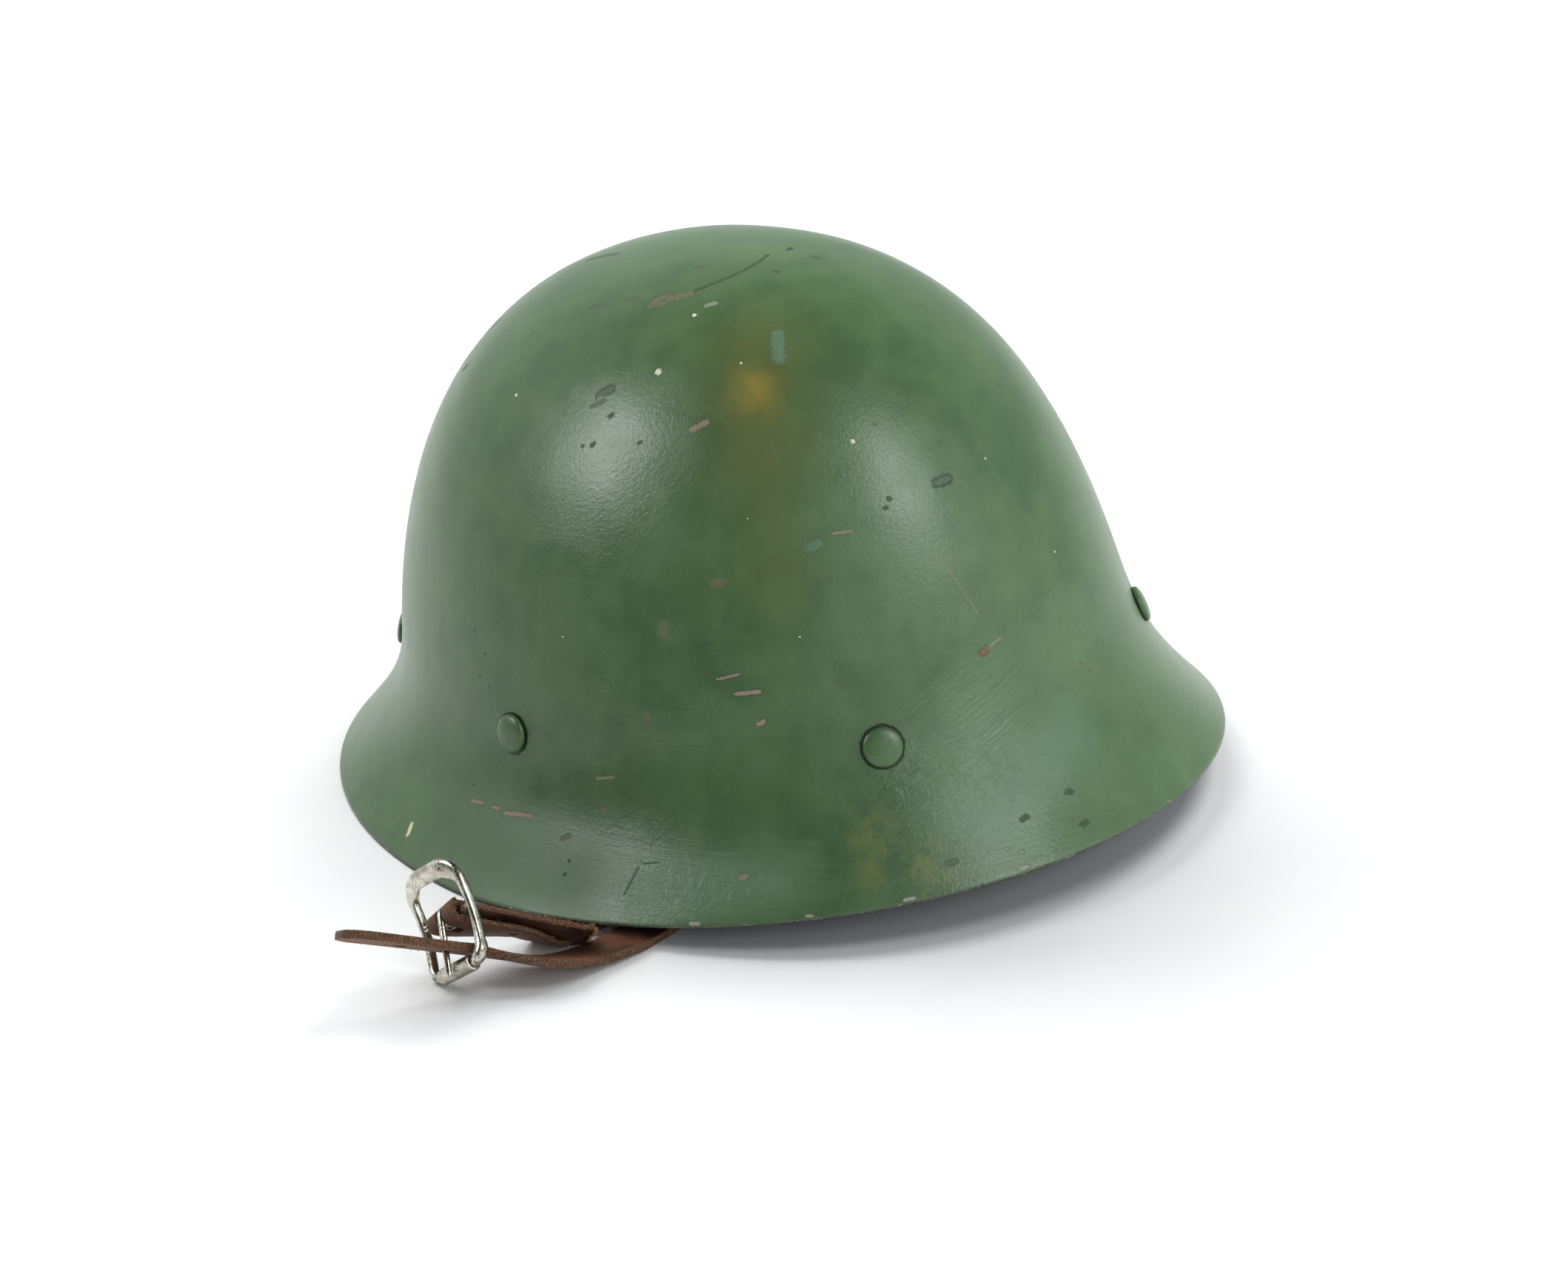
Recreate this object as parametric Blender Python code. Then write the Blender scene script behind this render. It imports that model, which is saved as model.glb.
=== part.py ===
"""Steel military helmet with a leather chin strap, standing on its own rim.

Frame: +Z up, the front of the helmet towards -Y, the wearer's right towards -X,
the surface that it stands on at z = 0. Lengths are metres.
"""
import math
from collections import namedtuple

import bmesh
import bpy
from mathutils import Matrix, Vector

MM = 0.001

# Steel shell
RIM_LENGTH = 297.5 * MM
RIM_WIDTH = 259.4 * MM
CROWN_HEIGHT = 164.0 * MM
WALL = 1.3 * MM
FRONT_RISE = 6.3 * MM
CROWN_SHIFT = 2.0 * MM
LEAN = math.radians(3.0)
REST_START = 12.0 * MM
SHELL_SIDES = 80
CROWN_ROWS = 13
FLARE_ROWS = 7
FLARE_HANDLE = 0.4

# One row for each end of the plan. Reaches are shares of the rim's length or
# width and of the rim's own reach, heights are shares of CROWN_HEIGHT, slopes
# are in degrees from level, and fullness is the curve's handle as a share.
Section = namedtuple(
    "Section", "rim_reach rim_slope waist_reach waist_height waist_slope crown_fullness wall_fullness")
FRONT = Section(0.491, 50.5, 0.790, 0.394, 75.5, 0.62, 0.63)
SIDE = Section(0.500, 44.7, 0.801, 0.259, 80.0, 0.58, 0.58)
BACK = Section(0.509, 41.7, 0.809, 0.333, 83.2, 0.60, 0.58)

# Rivets, on one level of the shell, with their angles from the front
RIVET_HEIGHT = 42.2 * MM
RIVET_HEAD_RADIUS = 5.6 * MM
RIVET_HEAD_RISE = 2.4 * MM
RIVET_EDGE = 0.7 * MM
SHANK_RADIUS = 2.0 * MM
SHANK_PLAY = 0.35 * MM
INNER_HEAD_RADIUS = 4.2 * MM
INNER_HEAD_RISE = 1.2 * MM
FRONT_RIVET_ANGLE = 31.0
SIDE_RIVET_ANGLE = 92.0
REAR_RIVET_ANGLE = 150.0
Rivet = namedtuple("Rivet", "place angle holds_strap")
RIVETS = (
    Rivet("front", FRONT_RIVET_ANGLE, False),
    Rivet("side", SIDE_RIVET_ANGLE, True),
    Rivet("rear", REAR_RIVET_ANGLE, False),
)
RIVET_SIDES = 16
DOME_ROWS = 4

# Clearances between pieces that touch
SEAT_GAP = 0.3 * MM
HEAD_GAP = 0.45 * MM
STRAP_GAP = 0.7 * MM

# How finely curves are measured, and the angle from which an edge is drawn sharp
SLOPE_STEP = 0.001
HALVINGS = 40
SHARP_EDGE = math.radians(35.0)

# Chin strap
STRAP_WIDTH = 13.2 * MM
TIP_THICKNESS = 2.4 * MM
LOOP_THICKNESS = 1.8 * MM
STRAP_END = 9.0 * MM
STRAP_STEP = 4.0 * MM
TIP_TAPER = 6.0 * MM
TIP_POINT_SHARE = 0.55
TIP_FREE_LENGTH = 30.0 * MM
TIP_LEAD = 8.0 * MM
TIP_LEAVES = Vector((-0.26, 0.34, 0.90))
TIP_TURN = 0.62
HOLE_RADIUS = 2.0 * MM
HOLE_PITCH = 13.0 * MM
PUNCH_DEPTH = 5.0 * MM
SLOT_PLAY = 0.6 * MM
SLOT_LENGTH = 8.4 * MM
LOOP_STEPS = 6

# Buckle
FRAME_WIDTH = 21.0 * MM
FRAME_HEIGHT = 28.3 * MM
FRAME_CORNER = 3.5 * MM
ROD_RADIUS = 1.4 * MM
SIDE_WIDTH = 1.7 * MM
TOP_WIDTH = 2.6 * MM
BAR_RADIUS = 1.2 * MM
BAR_SHARE = 0.52
ROLLER_WALL = 0.7 * MM
PRONG_RADIUS = 1.0 * MM
PRONG_OVERHANG = 1.8 * MM
PRONG_TURN = 330.0
PRONG_TURN_STEPS = 20
PRONG_SHAFT_STEPS = 3
CORNER_STEPS = 4
ROD_SIDES = 8
ROLLER_SIDES = 16

# Where the buckle's lower left corner stands, and how the frame is turned:
# the heading and rise of its bottom bar, and its lean about that bar
BUCKLE_ANGLE = -81.6
BUCKLE_REACH = 1.303
BUCKLE_HEADING = -78.1
BUCKLE_BAR_RISE = 33.7
BUCKLE_LEAN = -19.9

# Strap routes, from each strap's rivet outwards. Reach is a share of the rim's
# reach at that angle, and lift is how far the strap's underside stands above
# the floor as a share of RIVET_HEIGHT. The stops numbered in a FLAT pair keep
# the strap's face level.
Stop = namedtuple("Stop", "angle reach lift")
TIP_ROUTE = (
    Stop(90.0, 0.765, 0.50),
    Stop(90.5, 0.700, 0.22),
    Stop(90.0, 0.590, 0.00),
    Stop(75.0, 0.340, 0.00),
    Stop(-10.0, 0.130, 0.00),
    Stop(-50.0, 0.480, 0.00),
    Stop(-62.0, 0.840, 0.00),
    Stop(-66.0, 1.000, 0.00),
    Stop(-69.0, 1.100, 0.02),
    Stop(-72.0, 1.190, 0.10),
)
TIP_FLAT = (2, 7)
LOOP_ROUTE = (
    Stop(-84.0, 0.710, 0.66),
    Stop(-76.0, 0.620, 0.54),
    Stop(-70.0, 0.585, 0.34),
    Stop(-69.0, 0.650, 0.12),
    Stop(-70.0, 0.760, 0.01),
    Stop(-72.0, 0.870, 0.00),
    Stop(-74.5, 1.000, 0.00),
    Stop(-75.3, 1.070, 0.02),
    Stop(-76.6, 1.135, 0.17),
)
LOOP_FLAT = (5, 6)
LOOP_TAIL = Stop(-70.3, 1.050, 0.07)


def material(name, colour, roughness, metallic):
    made = bpy.data.materials.new(name)
    made.use_nodes = True
    shader = made.node_tree.nodes["Principled BSDF"]
    shader.inputs["Base Color"].default_value = (*colour, 1.0)
    shader.inputs["Roughness"].default_value = roughness
    shader.inputs["Metallic"].default_value = metallic
    made.diffuse_color = (*colour, 1.0)
    return made


def new_object(name, bm, finish, parent):
    bmesh.ops.recalc_face_normals(bm, faces=bm.faces)
    mesh = bpy.data.meshes.new(name)
    bm.to_mesh(mesh)
    bm.free()
    mesh.shade_smooth()
    mesh.set_sharp_from_angle(angle=SHARP_EDGE)
    made = bpy.data.objects.new(name, mesh)
    bpy.context.collection.objects.link(made)
    if finish:
        mesh.materials.append(finish)
    made.parent = parent
    return made


def cutter(name, bm, parent):
    made = new_object(name, bm, None, parent)
    made.hide_render = True
    made.display_type = "WIRE"
    return made


def boolean(target, tool, operation):
    cut = target.modifiers.new(tool.name, "BOOLEAN")
    cut.operation = operation
    cut.object = tool
    cut.solver = "EXACT"


def bezier(ends, handles, share):
    back = 1.0 - share
    return (ends[0] * back ** 3 + handles[0] * 3 * back ** 2 * share
            + handles[1] * 3 * back * share ** 2 + ends[1] * share ** 3)


# The shell as a surface: an angle round the plan, and a row from 0 at the
# apex through 1 at the waist to 2 at the rim

def mixed(angle, column):
    cosine = math.cos(angle)
    end = getattr(FRONT if cosine > 0 else BACK, column)
    return end * cosine ** 2 + getattr(SIDE, column) * math.sin(angle) ** 2


def oval(angle, end, side):
    return 1.0 / math.hypot(math.cos(angle) / end, math.sin(angle) / side)


def end_section(angle):
    return FRONT if math.cos(angle) > 0 else BACK


def rim_reach(angle):
    return oval(angle, end_section(angle).rim_reach * RIM_LENGTH, SIDE.rim_reach * RIM_WIDTH)


def waist_reach(angle):
    end = end_section(angle)
    return oval(angle, end.waist_reach * end.rim_reach * RIM_LENGTH,
                SIDE.waist_reach * SIDE.rim_reach * RIM_WIDTH)


def rim_height(angle):
    """Lowest edge of the rim: level with the surface from the sides back, once the shell leans."""
    cosine = math.cos(angle)
    if cosine > 0:
        return FRONT_RISE * cosine ** 2
    return math.tan(LEAN) * max(0.0, rim_reach(angle) * -cosine - REST_START)


def shell_point(angle, row):
    waist = Vector((waist_reach(angle), mixed(angle, "waist_height") * CROWN_HEIGHT))
    rim_slope = math.radians(mixed(angle, "rim_slope"))
    rim = Vector((rim_reach(angle), rim_height(angle) + WALL * math.cos(rim_slope)))
    waist_slope = math.radians(mixed(angle, "waist_slope"))
    down = Vector((math.cos(waist_slope), -math.sin(waist_slope)))
    if row <= 1.0:
        rise = (CROWN_HEIGHT - waist.y) * mixed(angle, "wall_fullness")
        apex = Vector((0.0, CROWN_HEIGHT))
        level = Vector((mixed(angle, "crown_fullness") * waist.x, CROWN_HEIGHT))
        flat = bezier((apex, waist), (level, waist - down * rise), row)
    else:
        handle = (rim - waist).length * FLARE_HANDLE
        out = Vector((math.cos(rim_slope), -math.sin(rim_slope)))
        flat = bezier((waist, rim), (waist + down * handle, rim - out * handle), row - 1.0)
    shift = CROWN_SHIFT * max(0.0, (flat.y - waist.y) / (CROWN_HEIGHT - waist.y))
    return Vector((flat.x * math.sin(angle), shift - flat.x * math.cos(angle), flat.y))


def shell_normal(angle, row):
    if row <= 0.0:
        return Vector((0.0, 0.0, 1.0))
    low, high = (row - SLOPE_STEP, row) if row >= 1.0 else (row, row + SLOPE_STEP)
    along = shell_point(angle, high) - shell_point(angle, low)
    around = shell_point(angle + SLOPE_STEP, row) - shell_point(angle - SLOPE_STEP, row)
    return along.cross(around).normalized()


def row_at_height(angle, height):
    low, high = 0.0, 2.0
    for _ in range(HALVINGS):
        middle = (low + high) / 2
        if shell_point(angle, middle).z > height:
            low = middle
        else:
            high = middle
    return low


def wall_point(angle, height, inward):
    """A point at a depth inside the outer face, with the face's normal."""
    row = row_at_height(angle, height)
    normal = shell_normal(angle, row)
    return shell_point(angle, row) - normal * inward, normal


def build_shell(finish, parent):
    rows = [(i + 1) / CROWN_ROWS for i in range(CROWN_ROWS)]
    rows += [1.0 + (i + 1) / FLARE_ROWS for i in range(FLARE_ROWS)]
    angles = [2 * math.pi * i / SHELL_SIDES for i in range(SHELL_SIDES)]
    bm = bmesh.new()
    skins = []
    for depth in (0.0, WALL):
        apex = bm.verts.new(shell_point(0.0, 0.0) - Vector((0.0, 0.0, depth)))
        rings = [[bm.verts.new(shell_point(a, row) - shell_normal(a, row) * depth) for a in angles]
                 for row in rows]
        for i in range(SHELL_SIDES):
            j = (i + 1) % SHELL_SIDES
            bm.faces.new((apex, rings[0][i], rings[0][j]))
            for upper, lower in zip(rings, rings[1:]):
                bm.faces.new((upper[i], lower[i], lower[j], upper[j]))
        skins.append(rings[-1])
    outer, inner = skins
    for i in range(SHELL_SIDES):
        j = (i + 1) % SHELL_SIDES
        bm.faces.new((outer[i], inner[i], inner[j], outer[j]))
    return new_object("shell", bm, finish, parent)


def lathe(profile, sides):
    """A closed body turned about Z from (radius, height) pairs, the first and last on the axis."""
    bm = bmesh.new()
    rings = []
    for radius, height in profile:
        if radius == 0.0:
            rings.append([bm.verts.new((0.0, 0.0, height))] * sides)
            continue
        turns = [2 * math.pi * i / sides for i in range(sides)]
        rings.append([bm.verts.new((radius * math.cos(a), radius * math.sin(a), height)) for a in turns])
    for upper, lower in zip(rings, rings[1:]):
        for i in range(sides):
            j = (i + 1) % sides
            corners = []
            for vert in (upper[i], lower[i], lower[j], upper[j]):
                if vert not in corners:
                    corners.append(vert)
            bm.faces.new(corners)
    return bm


def aim(point, normal):
    turn = normal.to_track_quat("Z", "Y").to_matrix().to_4x4()
    return Matrix.Translation(point) @ turn


def punch(name, place_at, radius, parent):
    profile = ((0, PUNCH_DEPTH), (radius, PUNCH_DEPTH), (radius, -PUNCH_DEPTH), (0, -PUNCH_DEPTH))
    tool = cutter(name, lathe(profile, RIVET_SIDES), parent)
    tool.matrix_local = place_at
    return tool


def rivet_profile(grip):
    """Domed head above the shell's face, shank, and a flat head beyond the grip."""
    rise = RIVET_HEAD_RISE - RIVET_EDGE
    dome = []
    for i in range(DOME_ROWS + 1):
        turn = math.pi / 2 * i / DOME_ROWS
        radius = RIVET_HEAD_RADIUS * math.sin(turn) if i else 0.0
        dome.append((radius, HEAD_GAP + RIVET_EDGE + rise * math.cos(turn)))
    inside = -grip - SEAT_GAP
    return dome + [
        (RIVET_HEAD_RADIUS, HEAD_GAP),
        (SHANK_RADIUS, HEAD_GAP),
        (SHANK_RADIUS, inside),
        (INNER_HEAD_RADIUS, inside),
        (INNER_HEAD_RADIUS, inside - INNER_HEAD_RISE),
        (0.0, inside - INNER_HEAD_RISE),
    ]


def build_rivet(name, angle, grip, shell, finish, parent):
    point, normal = wall_point(math.radians(angle), RIVET_HEIGHT, 0.0)
    rivet = new_object(name, lathe(rivet_profile(grip), RIVET_SIDES), finish, parent)
    rivet.matrix_local = aim(point, normal)
    hole = punch("drill_" + name, aim(point, normal), SHANK_RADIUS + SHANK_PLAY, parent)
    boolean(shell, hole, "DIFFERENCE")


# Straps: a flat ribbon along a smooth curve, with its face fixed at key points

def smooth_curve(points, step):
    """Points about one step apart on a curve through all the given ones, and where those fall."""
    padded = [points[0] * 2 - points[1]] + list(points) + [points[-1] * 2 - points[-2]]
    made = []
    marks = []
    for i in range(1, len(padded) - 2):
        before, start, end, after = padded[i - 1:i + 3]
        length = (end - start).length
        leave = (end - before) * (length / ((start - before).length + length))
        arrive = (after - start) * (length / ((after - end).length + length))
        count = max(2, round(length / step))
        marks.append(len(made))
        for k in range(count):
            made.append(bezier((start, end), (start + leave / 3, end - arrive / 3), k / count))
    marks.append(len(made))
    made.append(points[-1].copy())
    return made, marks


def tangents(points):
    last = len(points) - 1
    return [(points[min(i + 1, last)] - points[max(i - 1, 0)]).normalized() for i in range(last + 1)]


def carry(normal, tangent):
    return (normal - tangent * normal.dot(tangent)).normalized()


def faces_along(points, keys):
    """A normal for each point, carried without twist and turned evenly to meet each key."""
    runs = tangents(points)
    marks = sorted(keys)
    normals = [None] * len(points)
    for start, end in zip(marks, marks[1:]):
        normals[start] = carry(keys[start], runs[start])
        for i in range(start + 1, end + 1):
            normals[i] = carry(normals[i - 1], runs[i])
        wanted = carry(keys[end], runs[end])
        side = runs[end].cross(normals[end])
        turn = math.atan2(wanted.dot(side), wanted.dot(normals[end]))
        for i in range(start, end + 1):
            share = (i - start) / (end - start)
            normals[i] = Matrix.Rotation(turn * share, 3, runs[i]) @ normals[i]
    return normals, runs


def ribbon(points, keys, thickness, half_widths):
    normals, runs = faces_along(points, keys)
    bm = bmesh.new()
    rings = []
    for point, normal, run, half in zip(points, normals, runs, half_widths):
        side = run.cross(normal) * half
        up = normal * (thickness / 2)
        corners = (point + side + up, point - side + up, point - side - up, point + side - up)
        lowest = min(corner.z for corner in corners)
        lift = Vector((0.0, 0.0, max(0.0, -lowest)))
        rings.append([bm.verts.new(corner + lift) for corner in corners])
    for a, b in zip(rings, rings[1:]):
        for i in range(4):
            j = (i + 1) % 4
            bm.faces.new((a[i], a[j], b[j], b[i]))
    bm.faces.new(rings[0])
    bm.faces.new(rings[-1])
    return bm


def rounded_tip(points):
    """Half the strap's width at each point, drawn in over the last few millimetres."""
    left = [0.0]
    for a, b in zip(reversed(points[:-1]), reversed(points[1:])):
        left.append(left[-1] + (a - b).length)
    halves = []
    for rest in reversed(left):
        short = max(0.0, 1.0 - rest / TIP_TAPER)
        halves.append(STRAP_WIDTH / 2 * math.sqrt(1.0 - (1.0 - TIP_POINT_SHARE ** 2) * short ** 2))
    return halves


def place(stop, thickness):
    angle = math.radians(stop.angle)
    reach = rim_reach(angle) * stop.reach
    lift = thickness / 2 + stop.lift * RIVET_HEIGHT
    return Vector((reach * math.sin(angle), -reach * math.cos(angle), lift))


def anchor(angle, thickness, lean):
    """Three points of a strap's end against the inside of the wall, held by its rivet, and the face."""
    depth = WALL + STRAP_GAP + thickness / 2
    turned = math.radians(angle)
    middle, normal = wall_point(turned, RIVET_HEIGHT, depth)
    around = Vector((math.cos(turned), math.sin(turned), 0.0))
    up = normal.cross(around).normalized()
    if up.z < 0:
        up = -up
    ends = (middle + up * STRAP_END, middle, middle - up * STRAP_END)
    return [lean @ end for end in ends], lean.to_3x3() @ normal


# The buckle's own frame: X along its bottom bar, Y up its sides, Z away from the helmet

def buckle_matrix():
    heading = math.radians(BUCKLE_HEADING)
    rise = math.radians(BUCKLE_BAR_RISE)
    across = Vector((math.cos(heading) * math.cos(rise), math.sin(heading) * math.cos(rise), math.sin(rise)))
    upright = carry(Vector((0.0, 0.0, 1.0)), across)
    upright = Matrix.Rotation(math.radians(BUCKLE_LEAN), 3, across) @ upright
    facing = across.cross(upright)
    turn = Matrix((across, upright, facing)).transposed()
    corner = place(Stop(BUCKLE_ANGLE, BUCKLE_REACH, 0.0), 0.0)
    middle = corner + across * (FRAME_WIDTH / 2)
    lowest = min((turn @ point).z - ROD_RADIUS for point, _ in frame_outline())
    roller_end = (turn @ Vector((-roller_length() / 2, 0.0, 0.0))).z
    lowest = min(lowest, roller_end - roller_radius() * math.cos(rise))
    middle.z = SEAT_GAP - lowest
    return Matrix.Translation(middle) @ turn.to_4x4()


def roller_radius():
    return ROD_RADIUS + SEAT_GAP + ROLLER_WALL


def roller_length():
    return FRAME_WIDTH - 2 * (FRAME_CORNER + SEAT_GAP)


def bar_level():
    return FRAME_HEIGHT * BAR_SHARE


def frame_outline():
    """The rounded rectangle of the frame's middle line, with the rod's half width in its plane."""
    half = FRAME_WIDTH / 2 - FRAME_CORNER
    corners = ((half, FRAME_CORNER), (half, FRAME_HEIGHT - FRAME_CORNER),
               (-half, FRAME_HEIGHT - FRAME_CORNER), (-half, FRAME_CORNER))
    outline = []
    for i, (x, y) in enumerate(corners):
        for k in range(CORNER_STEPS + 1):
            turn = math.pi / 2 * (i - 1 + k / CORNER_STEPS)
            point = Vector((x + FRAME_CORNER * math.cos(turn), y + FRAME_CORNER * math.sin(turn), 0.0))
            outline.append((point, rod_half_width(point.y)))
    return outline


def rod_half_width(level):
    if level <= FRAME_CORNER:
        share = level / FRAME_CORNER
        return ROD_RADIUS + (SIDE_WIDTH - ROD_RADIUS) * share
    share = max(0.0, (level - FRAME_HEIGHT + FRAME_CORNER) / FRAME_CORNER)
    return SIDE_WIDTH + (TOP_WIDTH - SIDE_WIDTH) * share


def build_frame(finish, parent, seat):
    outline = frame_outline()
    bm = bmesh.new()
    rings = []
    count = len(outline)
    for i, (point, half) in enumerate(outline):
        run = (outline[(i + 1) % count][0] - outline[i - 1][0]).normalized()
        out = run.cross(Vector((0.0, 0.0, 1.0)))
        turns = [2 * math.pi * (k + 0.5) / ROD_SIDES for k in range(ROD_SIDES)]
        rings.append([bm.verts.new(point + out * (half * math.cos(a))
                                   + Vector((0.0, 0.0, ROD_RADIUS * math.sin(a)))) for a in turns])
    for i in range(count):
        a, b = rings[i], rings[(i + 1) % count]
        for k in range(ROD_SIDES):
            m = (k + 1) % ROD_SIDES
            bm.faces.new((a[k], a[m], b[m], b[k]))
    frame = new_object("buckle_frame", bm, finish, parent)
    frame.matrix_local = seat
    half = FRAME_WIDTH / 2
    bar = cutter("centre_bar", lathe(((0, half), (BAR_RADIUS, half), (BAR_RADIUS, -half), (0, -half)),
                                     ROD_SIDES), parent)
    bar.matrix_local = seat @ Matrix.Translation((0.0, bar_level(), 0.0)) @ Matrix.Rotation(
        math.pi / 2, 4, "Y")
    boolean(frame, bar, "UNION")
    return frame


def build_roller(finish, parent, seat):
    half = roller_length() / 2
    inner = ROD_RADIUS + SEAT_GAP
    section = ((roller_radius(), half), (roller_radius(), -half), (inner, -half), (inner, half))
    bm = bmesh.new()
    turns = [2 * math.pi * i / ROLLER_SIDES for i in range(ROLLER_SIDES)]
    rings = [[bm.verts.new((x, r * math.cos(a), r * math.sin(a))) for r, x in section] for a in turns]
    for i in range(ROLLER_SIDES):
        a, b = rings[i], rings[(i + 1) % ROLLER_SIDES]
        for k in range(4):
            m = (k + 1) % 4
            bm.faces.new((a[k], a[m], b[m], b[k]))
    roller = new_object("buckle_roller", bm, finish, parent)
    roller.matrix_local = seat
    return roller


def prong_path():
    """The wire's middle line in the buckle's YZ plane: round the centre bar, then down past the roller."""
    turn_radius = BAR_RADIUS + SEAT_GAP + PRONG_RADIUS
    hub = Vector((0.0, bar_level(), 0.0))
    rest = Vector((0.0, 0.0, roller_radius() + SEAT_GAP + PRONG_RADIUS))
    reach = (hub - rest).length
    tilt = math.atan2(rest.z - hub.z, hub.y - rest.y)
    leave = math.pi / 2 + tilt - math.asin(min(1.0, turn_radius / reach))
    points = []
    for k in range(PRONG_TURN_STEPS + 1):
        turn = leave + math.radians(PRONG_TURN) * (1 - k / PRONG_TURN_STEPS)
        points.append(hub + Vector((0.0, -math.cos(turn), math.sin(turn))) * turn_radius)
    away = (rest - points[-1]).normalized()
    length = (rest - points[-1]).length + PRONG_OVERHANG
    start = points[-1]
    points += [start + away * (length * (k + 1) / PRONG_SHAFT_STEPS) for k in range(PRONG_SHAFT_STEPS)]
    return points


def build_prong(finish, parent, seat):
    bm = bmesh.new()
    rings = []
    points = prong_path()
    runs = tangents(points)
    for point, run in zip(points, runs):
        across = Vector((1.0, 0.0, 0.0))
        up = run.cross(across)
        turns = [2 * math.pi * k / ROD_SIDES for k in range(ROD_SIDES)]
        rings.append([bm.verts.new(point + (across * math.cos(a) + up * math.sin(a)) * PRONG_RADIUS)
                      for a in turns])
    for a, b in zip(rings, rings[1:]):
        for k in range(ROD_SIDES):
            m = (k + 1) % ROD_SIDES
            bm.faces.new((a[k], a[m], b[m], b[k]))
    bm.faces.new(rings[0])
    bm.faces.new(rings[-1])
    prong = new_object("buckle_prong", bm, finish, parent)
    prong.matrix_local = seat
    return prong


def rivet_hole(strap, angle, lean, parent):
    point, normal = wall_point(math.radians(angle), RIVET_HEIGHT, WALL)
    hole = punch(strap.name + "_rivet_hole", lean @ aim(point, normal), SHANK_RADIUS + SHANK_PLAY, parent)
    boolean(strap, hole, "DIFFERENCE")


def on_floor(points, thickness):
    for point in points:
        point.z = max(point.z, thickness / 2)


def build_strap_tip(finish, parent, lean, seat):
    """From the left rivet under the rim, through the buckle and out to its free end."""
    held, face = anchor(SIDE_RIVET_ANGLE, TIP_THICKNESS, lean)
    route = [place(stop, TIP_THICKNESS) for stop in TIP_ROUTE]
    prong = prong_path()
    turn_end = prong[PRONG_TURN_STEPS]
    lower = roller_radius()
    upper = bar_level() - BAR_RADIUS - SEAT_GAP - LOOP_THICKNESS
    share = (turn_end.y - (lower + upper) / 2) / (turn_end.y - prong[-1].y)
    hole_place = turn_end.lerp(prong[-1], share)
    through = seat @ hole_place
    free = seat.to_3x3() @ TIP_LEAVES.normalized()
    window = [through - free * TIP_LEAD, through, through + free * (TIP_FREE_LENGTH / 2),
              through + free * TIP_FREE_LENGTH]
    points, marks = smooth_curve(held + route + window, STRAP_STEP)
    on_floor(points, TIP_THICKNESS)
    up = Vector((0.0, 0.0, 1.0))
    square = (seat.to_3x3() @ Vector((1.0, 0.0, 0.0))).cross(free).normalized()
    if square.z < 0:
        square = -square
    tilted = (square * TIP_TURN + carry(up, free) * (1.0 - TIP_TURN)).normalized()
    keys = {0: face, marks[len(held) - 1]: face, len(points) - 1: tilted,
            marks[len(held) + len(route)]: tilted}
    for stop in TIP_FLAT:
        keys[marks[len(held) + stop]] = up
    strap = new_object("strap_tip", ribbon(points, keys, TIP_THICKNESS, rounded_tip(points)),
                       finish, parent)
    rivet_hole(strap, SIDE_RIVET_ANGLE, lean, parent)
    shaft = seat.to_3x3() @ (prong[-1] - turn_end).normalized()
    boolean(strap, punch("prong_hole", aim(through, shaft), HOLE_RADIUS, parent), "DIFFERENCE")
    spare = aim(through + free * HOLE_PITCH, tilted)
    boolean(strap, punch("spare_hole", spare, HOLE_RADIUS, parent), "DIFFERENCE")
    return strap


def build_strap_buckle(finish, parent, lean, seat):
    """From the right rivet out under the rim, over the centre bar and back on itself."""
    held, face = anchor(-SIDE_RIVET_ANGLE, LOOP_THICKNESS, lean)
    route = [place(stop, LOOP_THICKNESS) for stop in LOOP_ROUTE]
    radius = BAR_RADIUS + SEAT_GAP + LOOP_THICKNESS / 2
    hub = Vector((0.0, bar_level(), 0.0))
    around = []
    for k in range(LOOP_STEPS + 1):
        turn = math.pi * (k / LOOP_STEPS - 0.5)
        around.append(seat @ (hub + Vector((0.0, math.sin(turn), math.cos(turn))) * radius))
    tail = place(LOOP_TAIL, LOOP_THICKNESS)
    stops = held + route + around + [(around[-1] + tail) / 2, tail]
    points, marks = smooth_curve(stops, STRAP_STEP)
    on_floor(points, LOOP_THICKNESS)
    up = Vector((0.0, 0.0, 1.0))
    bar = seat.to_3x3() @ Vector((1.0, 0.0, 0.0))
    start = marks[len(held) + len(route)]
    end = marks[len(held) + len(route) + LOOP_STEPS]
    runs = tangents(points)
    enter = runs[start].cross(bar)
    leave = runs[end].cross(bar)
    if enter.z < 0:
        enter, leave = -enter, -leave
    keys = {0: face, marks[len(held) - 1]: face, start: enter, end: leave, len(points) - 1: leave}
    for stop in LOOP_FLAT:
        keys[marks[len(held) + stop]] = up
    halves = [STRAP_WIDTH / 2] * len(points)
    strap = new_object("strap_buckle", ribbon(points, keys, LOOP_THICKNESS, halves), finish, parent)
    rivet_hole(strap, -SIDE_RIVET_ANGLE, lean, parent)
    bm = bmesh.new()
    bmesh.ops.create_cube(bm, size=1.0)
    sizes = (2 * (PRONG_RADIUS + SLOT_PLAY), SLOT_LENGTH + radius, 2 * SLOT_LENGTH)
    bmesh.ops.scale(bm, vec=sizes, verts=bm.verts)
    slot = cutter("prong_slot", bm, parent)
    slot.matrix_local = seat @ Matrix.Translation(hub)
    boolean(strap, slot, "DIFFERENCE")
    return strap


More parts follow.
